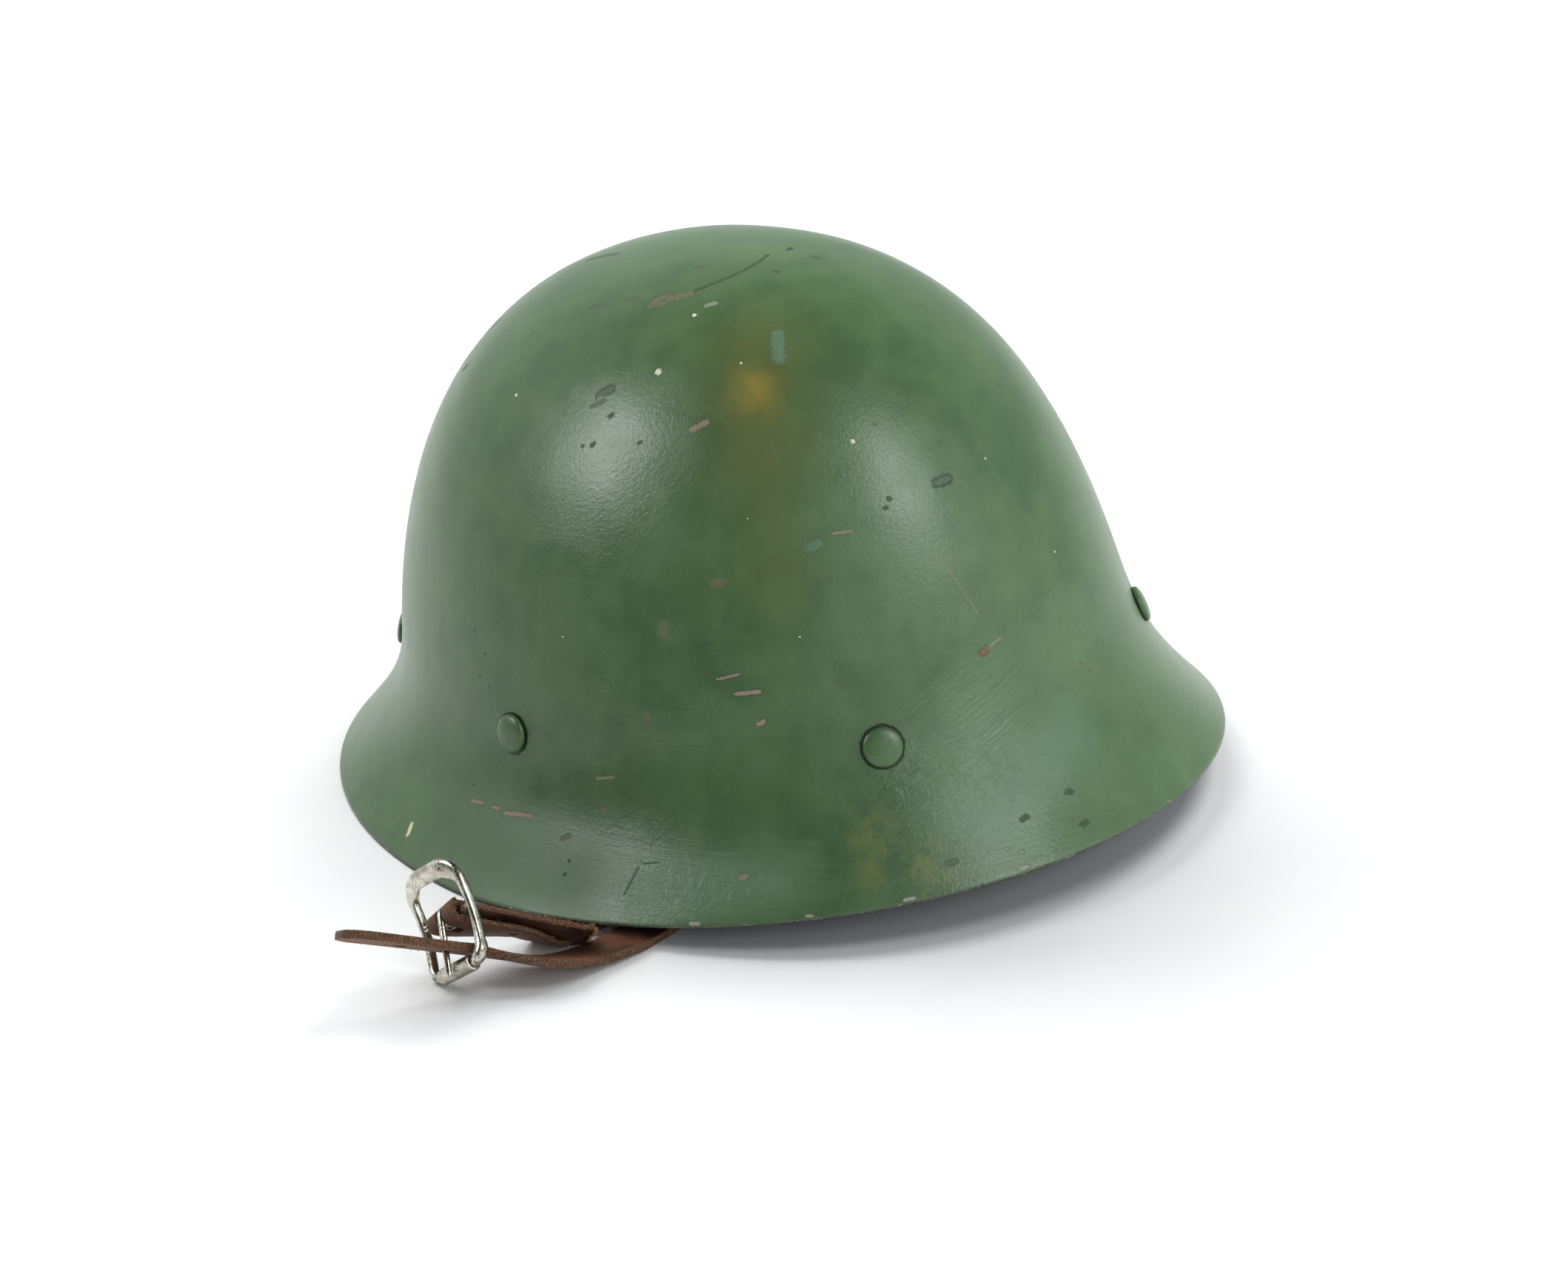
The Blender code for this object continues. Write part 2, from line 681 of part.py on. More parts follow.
def bounds():
    bpy.context.view_layer.update()
    graph = bpy.context.evaluated_depsgraph_get()
    low = Vector((math.inf, math.inf, math.inf))
    high = -low
    for item in bpy.context.scene.objects:
        if item.type != "MESH" or item.hide_render:
            continue
        shown = item.evaluated_get(graph)
        for vert in shown.data.vertices:
            place_at = shown.matrix_world @ vert.co
            for axis in range(3):
                low[axis] = min(low[axis], place_at[axis])
                high[axis] = max(high[axis], place_at[axis])
    return low, high


def main():
    for item in list(bpy.data.objects):
        bpy.data.objects.remove(item, do_unlink=True)
    green = material("green_paint", (0.060, 0.115, 0.060), 0.35, 0.0)
    leather = material("brown_leather", (0.110, 0.045, 0.022), 0.7, 0.0)
    steel = material("buckle_steel", (0.60, 0.57, 0.52), 0.3, 1.0)

    root = bpy.data.objects.new("helmet", None)
    bpy.context.collection.objects.link(root)
    lift = Matrix.Translation((0.0, 0.0, REST_START * math.sin(LEAN)))
    lean = lift @ Matrix.Rotation(-LEAN, 4, "X")
    standing = bpy.data.objects.new("leaning_shell", None)
    bpy.context.collection.objects.link(standing)
    standing.parent = root
    standing.matrix_local = lean

    shell = build_shell(green, standing)
    for rivet in RIVETS:
        for side, sign, strap in (("right", -1, LOOP_THICKNESS), ("left", 1, TIP_THICKNESS)):
            grip = WALL + STRAP_GAP + strap if rivet.holds_strap else WALL
            name = "rivet_%s_%s" % (rivet.place, side)
            build_rivet(name, sign * rivet.angle, grip, shell, green, standing)

    seat = buckle_matrix()
    build_frame(steel, root, seat)
    build_roller(steel, root, seat)
    build_prong(steel, root, seat)
    build_strap_tip(leather, root, lean, seat)
    build_strap_buckle(leather, root, lean, seat)

    low, high = bounds()
    root.location = (-(low.x + high.x) / 2, -(low.y + high.y) / 2, -low.z)
    bpy.context.view_layer.update()


main()
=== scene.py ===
"""Looks of the green steel helmet and its chin strap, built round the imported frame."""

import math
import random
from collections import namedtuple

import bmesh
import bpy
import numpy as np
from mathutils import Matrix, Vector, noise


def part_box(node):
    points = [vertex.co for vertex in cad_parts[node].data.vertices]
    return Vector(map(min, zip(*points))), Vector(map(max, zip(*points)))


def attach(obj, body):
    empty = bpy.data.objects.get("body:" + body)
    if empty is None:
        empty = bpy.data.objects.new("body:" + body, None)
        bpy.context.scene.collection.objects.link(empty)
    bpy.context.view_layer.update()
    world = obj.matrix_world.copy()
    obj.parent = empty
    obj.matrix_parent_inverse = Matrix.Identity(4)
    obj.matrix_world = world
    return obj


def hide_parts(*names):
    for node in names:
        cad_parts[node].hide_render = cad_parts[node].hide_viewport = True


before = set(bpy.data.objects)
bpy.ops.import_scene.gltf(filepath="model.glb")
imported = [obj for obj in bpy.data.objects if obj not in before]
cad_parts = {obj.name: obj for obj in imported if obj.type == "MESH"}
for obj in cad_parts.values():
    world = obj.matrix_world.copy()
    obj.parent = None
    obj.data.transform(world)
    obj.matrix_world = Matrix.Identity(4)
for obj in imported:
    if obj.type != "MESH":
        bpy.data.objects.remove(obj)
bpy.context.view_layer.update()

MM = 0.001

# The helmet's own frame has its origin midway between the rim's low sides.
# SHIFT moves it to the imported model's frame.

RIM_LENGTH = 297.5 * MM
RIM_WIDTH = 259.4 * MM
CROWN_HEIGHT = 164.0 * MM
WALL = 1.3 * MM
FRONT_RISE = 6.3 * MM
CROWN_SHIFT = 2.0 * MM
LEAN = math.radians(3.0)
REST_START = 12.0 * MM
FLARE_HANDLE = 0.4

Section = namedtuple(
    "Section", "rim_reach rim_slope waist_reach waist_height waist_slope crown_fullness wall_fullness")
FRONT = Section(0.491, 50.5, 0.790, 0.394, 75.5, 0.62, 0.63)
SIDE = Section(0.500, 44.7, 0.801, 0.259, 80.0, 0.58, 0.58)
BACK = Section(0.509, 41.7, 0.809, 0.333, 83.2, 0.60, 0.58)

RIVET_HEIGHT = 42.2 * MM
RIVET_HEAD_RADIUS = 5.6 * MM
RIVET_HEAD_RISE = 2.4 * MM
RIVET_EDGE = 0.7 * MM
HEAD_GAP = 0.1 * MM
SHANK_RADIUS = 2.0 * MM
INNER_HEAD_RADIUS = 4.2 * MM
INNER_HEAD_RISE = 1.2 * MM
SIDE_RIVET_ANGLE = 92.0
RIVETS = (("front", 31.0, False), ("side", SIDE_RIVET_ANGLE, True), ("rear", 150.0, False))
SEAT_GAP = 0.3 * MM
STRAP_GAP = 0.7 * MM

STRAP_WIDTH = 13.2 * MM
TIP_THICKNESS = 2.4 * MM
LOOP_THICKNESS = 1.8 * MM
STRAP_END = 9.0 * MM
TIP_TAPER = 6.0 * MM
TIP_POINT_SHARE = 0.55
TIP_FREE_LENGTH = 30.0 * MM
TIP_LEAD = 8.0 * MM
TIP_LEAVES = Vector((-0.26, 0.34, 0.90))
TIP_TURN = 0.62
HOLE_RADIUS = 2.0 * MM
HOLE_PITCH = 13.0 * MM
PUNCH_DEPTH = 5.0 * MM
SLOT_PLAY = 0.6 * MM
LOOP_STEPS = 6

FRAME_WIDTH = 21.0 * MM
FRAME_HEIGHT = 28.3 * MM
FRAME_CORNER = 3.5 * MM
ROD_RADIUS = 1.4 * MM
TOP_WIDTH = 2.6 * MM
BAR_RADIUS = 1.2 * MM
BAR_SHARE = 0.52
ROLLER_WALL = 0.7 * MM
PRONG_RADIUS = 1.0 * MM
PRONG_OVERHANG = 1.8 * MM
PRONG_TURN = 330.0
PRONG_TURN_STEPS = 20
PRONG_SHAFT_STEPS = 3
BUCKLE_ANGLE = -81.6
BUCKLE_REACH = 1.303
BUCKLE_HEADING = -78.1
BUCKLE_BAR_RISE = 33.7
BUCKLE_LEAN = -19.9

Stop = namedtuple("Stop", "angle reach lift")
TIP_ROUTE = (
    Stop(90.0, 0.765, 0.50),
    Stop(90.5, 0.700, 0.22),
    Stop(90.0, 0.590, 0.00),
    Stop(75.0, 0.340, 0.00),
    Stop(-10.0, 0.130, 0.00),
    Stop(-50.0, 0.480, 0.00),
    Stop(-62.0, 0.840, 0.00),
    Stop(-66.0, 1.000, 0.00),
    Stop(-69.0, 1.100, 0.02),
    Stop(-72.0, 1.190, 0.10),
)
TIP_FLAT = (2, 7)
LOOP_ROUTE = (
    Stop(-84.0, 0.710, 0.66),
    Stop(-76.0, 0.620, 0.54),
    Stop(-70.0, 0.585, 0.34),
    Stop(-69.0, 0.650, 0.12),
    Stop(-70.0, 0.760, 0.01),
    Stop(-72.0, 0.870, 0.00),
    Stop(-74.5, 1.000, 0.00),
    Stop(-75.3, 1.070, 0.02),
    Stop(-76.6, 1.135, 0.17),
)
LOOP_FLAT = (5, 6)
LOOP_TAIL = Stop(-70.3, 1.050, 0.07)

# Finer steps than the solids have, and the small shapes that only the looks show
SHELL_SIDES = 360
CROWN_ROWS = 78
FLARE_ROWS = 40
INNER_ROWS = 26
RIVET_SIDES = 48
RIBBON_STEP = 1.2 * MM
STRAP_CORNER = 0.45 * MM
LOOP_CORNER = 0.75 * MM
SLOT_SEEN = 6.4 * MM
TOP_CORNER = 6.6 * MM
END_ROUND = 0.35 * MM
SHANK_PLAY = 0.35 * MM
LOOP_HOLE_BACK = 18.0 * MM
LOOP_HOLE_RADIUS = 1.3 * MM
FRAME_BOW = 2.2 * MM
SIDE_HALF = 1.35 * MM
KNOB_SWELL = 0.40

LEATHER_DARK = (0.036, 0.016, 0.009)
LEATHER = (0.125, 0.054, 0.029)
LEATHER_RED = (0.200, 0.072, 0.038)

# The photograph's camera in the helmet's own frame: turn about Z, height of view
# and roll in degrees, the aim's offset and the distance, and the focal length
CAMERA_TURN = 46.19
CAMERA_RISE = 23.04
CAMERA_ROLL = 4.45
CAMERA_ASIDE = Vector((-6.69, 32.52)) * MM
CAMERA_AWAY = 886.87 * MM
CAMERA_AIM = Vector((0.0, 0.0, 70.0)) * MM
CAMERA_LENS = 66.03


# The shell as a surface, for arrays of angles and rows

def mixed(angle, column):
    cosine = np.cos(angle)
    end = np.where(cosine > 0, getattr(FRONT, column), getattr(BACK, column))
    return end * cosine ** 2 + getattr(SIDE, column) * np.sin(angle) ** 2


def oval(angle, end, side):
    return 1.0 / np.hypot(np.cos(angle) / end, np.sin(angle) / side)


def rim_reach(angle):
    end = np.where(np.cos(angle) > 0, FRONT.rim_reach, BACK.rim_reach)
    return oval(angle, end * RIM_LENGTH, SIDE.rim_reach * RIM_WIDTH)


def waist_reach(angle):
    front = FRONT.waist_reach * FRONT.rim_reach
    back = BACK.waist_reach * BACK.rim_reach
    end = np.where(np.cos(angle) > 0, front, back)
    return oval(angle, end * RIM_LENGTH, SIDE.waist_reach * SIDE.rim_reach * RIM_WIDTH)


def rim_height(angle):
    cosine = np.cos(angle)
    rear = math.tan(LEAN) * np.maximum(0.0, rim_reach(angle) * -cosine - REST_START)
    return np.where(cosine > 0, FRONT_RISE * cosine ** 2, rear)


def bezier(start, leave, arrive, end, share):
    back = 1.0 - share
    return (start * back ** 3 + leave * 3 * back ** 2 * share
            + arrive * 3 * back * share ** 2 + end * share ** 3)


def shell_points(angle, row):
    angle, row = np.broadcast_arrays(np.asarray(angle, float), np.asarray(row, float))
    waist_x = waist_reach(angle)
    waist_z = mixed(angle, "waist_height") * CROWN_HEIGHT
    rim_slope = np.radians(mixed(angle, "rim_slope"))
    rim_x = rim_reach(angle)
    rim_z = rim_height(angle) + WALL * np.cos(rim_slope)
    slope = np.radians(mixed(angle, "waist_slope"))
    rise = (CROWN_HEIGHT - waist_z) * mixed(angle, "wall_fullness")
    share = np.clip(row, 0.0, 1.0)
    upper_x = bezier(0.0, mixed(angle, "crown_fullness") * waist_x,
                     waist_x - np.cos(slope) * rise, waist_x, share)
    upper_z = bezier(CROWN_HEIGHT, CROWN_HEIGHT, waist_z + np.sin(slope) * rise, waist_z, share)
    handle = np.hypot(rim_x - waist_x, rim_z - waist_z) * FLARE_HANDLE
    share = np.clip(row - 1.0, 0.0, 1.0)
    lower_x = bezier(waist_x, waist_x + np.cos(slope) * handle,
                     rim_x - np.cos(rim_slope) * handle, rim_x, share)
    lower_z = bezier(waist_z, waist_z - np.sin(slope) * handle,
                     rim_z + np.sin(rim_slope) * handle, rim_z, share)
    x = np.where(row <= 1.0, upper_x, lower_x)
    z = np.where(row <= 1.0, upper_z, lower_z)
    shift = CROWN_SHIFT * np.maximum(0.0, (z - waist_z) / (CROWN_HEIGHT - waist_z))
    return np.stack([x * np.sin(angle), shift - x * np.cos(angle), z], -1)


def shell_normals(angle, row):
    step = 1e-3
    angle, row = np.broadcast_arrays(np.asarray(angle, float), np.asarray(row, float))
    low = np.where(row >= 1.0, row - step, row)
    along = shell_points(angle, low + step) - shell_points(angle, low)
    around = shell_points(angle + step, row) - shell_points(angle - step, row)
    normal = np.cross(along, around)
    size = np.linalg.norm(normal, axis=-1, keepdims=True)
    return normal / np.maximum(size, 1e-12)


def row_at_height(angle, height):
    low, high = 0.0, 2.0
    for _ in range(40):
        middle = (low + high) / 2
        if shell_points(angle, middle)[2] > height:
            low = middle
        else:
            high = middle
    return low


def on_shell(degrees, row):
    return Vector(shell_points(math.radians(degrees), row))


def wall_point(angle, height, inward):
    row = row_at_height(angle, height)
    normal = Vector(shell_normals(angle, row))
    return Vector(shell_points(angle, row)) - normal * inward, normal


# Where the leaning shell and everything else stand

LIFT = Matrix.Translation((0.0, 0.0, REST_START * math.sin(LEAN)))
LEANING = LIFT @ Matrix.Rotation(-LEAN, 4, "X")
rim_angles = np.linspace(0.0, 2 * math.pi, 1440, endpoint=False)
rim_ring = shell_points(rim_angles, 2.0)
rim_world = rim_ring @ np.array(LEANING.to_3x3()).T + np.array(LEANING.translation)
shell_low, shell_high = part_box("shell")
SHIFT = Matrix.Translation((
    (shell_low.x + shell_high.x) / 2 - (rim_world[:, 0].min() + rim_world[:, 0].max()) / 2,
    (shell_low.y + shell_high.y) / 2 - (rim_world[:, 1].min() + rim_world[:, 1].max()) / 2,
    0.0))
TO_SHELL = SHIFT @ LEANING


# Node trees

class Tree:
    """Short calls for building one material."""

    def __init__(self, name):
        self.made = bpy.data.materials.new(name)
        self.made.use_nodes = True
        self.nodes = self.made.node_tree.nodes
        self.links = self.made.node_tree.links
        self.shader = self.nodes["Principled BSDF"]

    def put(self, socket, value):
        if isinstance(value, bpy.types.NodeSocket):
            self.links.new(value, socket)
        elif hasattr(socket.default_value, "__len__"):
            size = len(socket.default_value)
            value = tuple(value) if hasattr(value, "__len__") else (value,) * size
            socket.default_value = (value + (1.0,))[:size] if len(value) < size else value[:size]
        else:
            socket.default_value = value

    def add(self, kind, out=0, props=(), **inputs):
        made = self.nodes.new(kind)
        for key, value in props:
            setattr(made, key, value)
        for key, value in inputs.items():
            self.put(made.inputs[int(key[1:])] if key[0] == "i" and key[1:].isdigit()
                     else made.inputs[key.replace("_", " ")], value)
        return made.outputs[out]

    def math(self, operation, a, b=0.5, c=0.5, clamp=False):
        return self.add("ShaderNodeMath", props=(("operation", operation), ("use_clamp", clamp)),
                        i0=a, i1=b, i2=c)

    def times(self, a, b):
        return self.math("MULTIPLY", a, b)

    def plus(self, a, b):
        return self.math("ADD", a, b)

    def minus(self, a, b):
        return self.math("SUBTRACT", a, b)

    def vector(self, operation, a, b=(0, 0, 0), out=0, scale=None):
        made = self.nodes.new("ShaderNodeVectorMath")
        made.operation = operation
        self.put(made.inputs[0], a)
        self.put(made.inputs[1], b)
        if scale is not None:
            self.put(made.inputs["Scale"], scale)
        return made.outputs[out]

    def noise(self, where, scale, detail=3.0, roughness=0.5, distortion=0.0, colour=False):
        return self.add("ShaderNodeTexNoise", out=1 if colour else 0, Vector=where, Scale=scale,
                        Detail=detail, Roughness=roughness, Distortion=distortion)

    def ramp(self, value, low, high, start=0.0, end=1.0, smooth=True):
        kind = "SMOOTHSTEP" if smooth else "LINEAR"
        return self.add("ShaderNodeMapRange", props=(("interpolation_type", kind),), i0=value,
                        i1=low, i2=high, i3=start, i4=end)

    def mix(self, share, a, b, blend="MIX"):
        made = self.nodes.new("ShaderNodeMix")
        made.data_type = "RGBA"
        made.blend_type = blend
        self.put(made.inputs[0], share)
        self.put(made.inputs[6], a)
        self.put(made.inputs[7], b)
        return made.outputs[2]

    def attribute(self, name, out="Fac"):
        made = self.nodes.new("ShaderNodeAttribute")
        made.attribute_name = name
        return made.outputs[out]

    def millimetres(self):
        where = self.nodes.new("ShaderNodeTexCoord").outputs["Object"]
        return self.vector("SCALE", where, scale=1000.0)

    def bump(self, height, distance, strength=1.0, below=None):
        made = self.nodes.new("ShaderNodeBump")
        made.inputs["Strength"].default_value = strength
        made.inputs["Distance"].default_value = distance
        self.put(made.inputs["Height"], height)
        if below is not None:
            self.put(made.inputs["Normal"], below)
        return made.outputs[0]

    def finish(self, **inputs):
        for key, value in inputs.items():
            self.put(self.shader.inputs[key.replace("_", " ")], value)
        return self.made


def shade(hexadecimal):
    """Linear colour of a screen colour."""
    parts = [int(hexadecimal[i:i + 2], 16) / 255 for i in (0, 2, 4)]
    return tuple(p / 12.92 if p <= 0.04045 else ((p + 0.055) / 1.055) ** 2.4 for p in parts)


# Paint

DARK_GREEN = (0.064, 0.131, 0.054)
GREEN = (0.090, 0.168, 0.067)
PALE_GREEN = (0.136, 0.232, 0.112)
OLIVE = (0.176, 0.208, 0.067)
HALO = (0.165, 0.165, 0.044)
STAIN = (0.320, 0.250, 0.048)
# Pale bluish green of the painted highlights on the brim
HIGHLIGHT_GREEN = (0.150, 0.258, 0.165)


def stroke_turn():
    """Turns places so that X runs along the brush strokes beside the front rivet."""
    along = on_shell(-13.0, 1.20) - on_shell(-23.0, 1.32)
    face = Vector(shell_normals(math.radians(-18.0), 1.25))
    run = carry(along, face)
    return Matrix((run, face.cross(run), face)).to_euler()


def paint_material(name, worn_and_shaded):
    tree = Tree(name)
    where = tree.millimetres()
    broad = tree.noise(where, 0.018, 4.0, 0.55)
    middle = tree.noise(where, 0.09, 5.0, 0.6)
    fine = tree.noise(where, 0.9, 4.0, 0.6)
    tone = tree.plus(tree.times(broad, 0.55), tree.times(middle, 0.45))
    colour = tree.mix(tree.ramp(tone, 0.36, 0.56), DARK_GREEN, GREEN)
    colour = tree.mix(tree.ramp(tone, 0.52, 0.72, 0.0, 0.55), colour, PALE_GREEN)
    specks = tree.ramp(fine, 0.60, 0.72, 0.0, 0.25)
    colour = tree.mix(specks, colour, DARK_GREEN)
    level = tree.add("ShaderNodeMapping", Vector=where, Scale=(0.05, 0.05, 1.1))
    level_strokes = tree.noise(level, 1.0, 4.0, 0.6, 0.3)
    slant = tree.add("ShaderNodeMapping", Vector=where, Rotation=stroke_turn())
    slant = tree.add("ShaderNodeMapping", Vector=slant, Scale=(0.06, 1.0, 0.4))
    slant_strokes = tree.noise(slant, 1.0, 4.0, 0.62, 0.4)
    peel = tree.noise(where, 0.85, 3.0, 0.55, 0.8)
    roughness = tree.plus(tree.times(middle, 0.20), 0.22)
    # The worn version carries real wear and marks, and also painted highlights and painted shade
    if worn_and_shaded:
        level_share = tree.attribute("level_strokes")
        slant_share = tree.attribute("slant_strokes")
        wrinkle_share = tree.attribute("wrinkled")
    else:
        level_share = 0.3
        slant_share = 0.2
        wrinkle_share = 0.0
    level_height = tree.times(level_strokes, level_share)
    slant_height = tree.times(slant_strokes, slant_share)
    crumple = tree.noise(where, 0.28, 5.0, 0.62, 1.4)
    crumple_height = tree.times(crumple, wrinkle_share)
    height = tree.plus(tree.times(peel, 0.55),
                       tree.plus(level_height, slant_height))
    height = tree.plus(height, tree.times(crumple_height, 2.2))
    height = tree.plus(height, tree.times(fine, 0.07))
    # The raised ridges of the brush strokes are tinted paler: a painted highlight on the ridges
    stroke_highlight = tree.plus(level_height, slant_height)
    colour = tree.mix(tree.ramp(stroke_highlight, 0.45, 0.75, 0.0, 0.30), colour, PALE_GREEN)
    metallic = 0.0
    if worn_and_shaded:
        stain = tree.attribute("stain")
        blur = tree.noise(where, 0.16, 4.0, 0.6)
        stain = tree.times(stain, tree.ramp(blur, 0.25, 0.6, 0.55, 1.0))
        halo = tree.times(tree.attribute("halo"), tree.ramp(blur, 0.25, 0.65, 0.6, 1.0))
        colour = tree.mix(tree.ramp(halo, 0.0, 0.9, 0.0, 0.55, smooth=False), colour, HALO)
        colour = tree.mix(tree.ramp(stain, 0.0, 1.0, 0.0, 0.85, smooth=False), colour, STAIN)
        # Darker, more matte patches on the brim's left: the darkening is painted shade, the added roughness
        # a matte finish
        dull_and_shade = tree.attribute("dull_and_shade")
        # Pale bluish patches on the brim: painted highlight, lamp reflections painted into the colour; they
        # are also a little rougher
        painted_highlight = tree.attribute("painted_highlight")
        colour = tree.mix(tree.times(dull_and_shade, 0.55), colour, DARK_GREEN)
        colour = tree.mix(tree.times(painted_highlight, 0.55), colour, HIGHLIGHT_GREEN)
        roughness = tree.plus(roughness, tree.times(dull_and_shade, 0.22))
        roughness = tree.plus(roughness, tree.times(painted_highlight, 0.10))
        olive = tree.times(tree.attribute("olive"), tree.ramp(blur, 0.35, 0.65, 0.2, 1.0))
        colour = tree.mix(tree.ramp(olive, 0.1, 0.9, 0.0, 0.65), colour, OLIVE)

        jitter = tree.minus(tree.noise(where, 1.6, 3.0, 0.6), 0.5)
        mark = tree.vector("LENGTH", tree.attribute("mark", "Vector"), out=1)
        mark = tree.plus(mark, tree.times(jitter, 2.2))
        core = tree.ramp(mark, 1.15, 0.75)
        edge = tree.times(tree.ramp(mark, 1.7, 1.15), tree.attribute("mark_edge"))
        colour = tree.mix(tree.times(edge, 0.75), colour, shade("1c241a"))
        colour = tree.mix(tree.times(core, tree.attribute("mark_depth")), colour,
                          tree.attribute("mark_colour", "Color"))
        roughness = tree.plus(roughness, tree.times(core, 0.25))
        height = tree.minus(height, tree.times(core, 0.7))

        ring = tree.vector("LENGTH", tree.attribute("rivet_ring", "Vector"), out=1)
        wobble = tree.times(tree.minus(tree.noise(where, 0.7, 4.0, 0.65), 0.5), 0.30)
        ring = tree.plus(ring, wobble)
        # Dark ring in the joint round each rivet head: painted shade there, with a dip in the relief
        crevice_shade = tree.times(tree.ramp(ring, 1.16, 1.06), tree.ramp(ring, 0.80, 0.98))
        build_up = tree.times(tree.ramp(ring, 1.9, 1.1), 0.7)
        colour = tree.mix(tree.times(crevice_shade, 0.85), colour, shade("14190f"))
        height = tree.plus(height, build_up)
        height = tree.minus(height, tree.times(crevice_shade, 1.6))

        rim = tree.attribute("from_rim")
        chip_size = tree.ramp(rim, 0.0, 2.6, 0.50, 0.88, smooth=False)
        bite = tree.noise(where, 0.45, 5.0, 0.7)
        chipped = tree.times(tree.ramp(tree.minus(bite, chip_size), 0.0, 0.03),
                            tree.ramp(rim, 2.8, 2.2))
        grit = tree.noise(where, 1.3, 4.0, 0.7)
        bare = tree.mix(tree.ramp(grit, 0.42, 0.62), shade("55504b"), shade("a9a69c"))
        colour = tree.mix(chipped, colour, bare)
        lip = tree.attribute("lip")
        worn_off = tree.ramp(tree.noise(where, 0.12, 4.0, 0.65), 0.34, 0.52, 0.35, 1.0)
        lip_bare = tree.times(lip, worn_off)
        lip_steel = tree.mix(tree.ramp(grit, 0.35, 0.65), shade("2f2c29"), shade("77736b"))
        colour = tree.mix(lip_bare, colour, lip_steel)
        height = tree.minus(height, tree.times(chipped, 0.9))
        metallic = tree.times(tree.math("MAXIMUM", chipped, lip_bare), 0.45)
        # The inside faces are painted near black: painted shade inside the shell
        inside = tree.attribute("inside")
        colour = tree.mix(tree.times(inside, 0.8), colour, shade("262a22"))
    normal = tree.bump(height, 0.16 * MM)
    return tree.finish(Base_Color=colour, Roughness=roughness, Metallic=metallic, Normal=normal,
                       Specular_IOR_Level=0.38)


# Shell with its marks

# Each mark is a short stroke between two places on the shell, given as an angle
# in degrees and a row, with its half width in millimetres and its kind. The kinds'
# screen colours are raised by MARK_LIGHT to sit right beside the paint's.
MARK_LIGHT = 1.45
Mark = namedtuple("Mark", "kind angle row end_angle end_row half")
Kind = namedtuple("Kind", "colour depth edge")
KINDS = {
    "scrape": Kind(shade("635a47"), 0.70, 0.2),
    "scuff": Kind(shade("4a5240"), 0.55, 0.0),
    "pale": Kind(shade("859581"), 0.55, 0.2),
    "pale_green": Kind(shade("577a5f"), 0.40, 0.2),
    "brown": Kind(shade("62563d"), 0.60, 0.0),
    "pink": Kind(shade("857867"), 0.70, 0.2),
    "chip": Kind(shade("9c9a90"), 0.65, 0.4),
    "scratch": Kind(shade("263022"), 0.55, 0.0),
    "outlined": Kind(shade("566a52"), 0.50, 1.0),
    "speck": Kind(shade("c9c6b4"), 0.90, 0.3),
    "smear": Kind(shade("547a68"), 0.45, 0.0),
    "primer": Kind(shade("8a7468"), 0.85, 0.4),
    "rust": Kind(shade("704c33"), 0.80, 0.3),
    "thin": Kind(shade("8a786c"), 0.70, 0.0),
    "cream": Kind(shade("cdc49c"), 0.90, 0.3),
    "blotch": Kind(shade("56603c"), 0.45, 0.0),
    "dark": Kind(shade("20281c"), 0.65, 0.0),
}
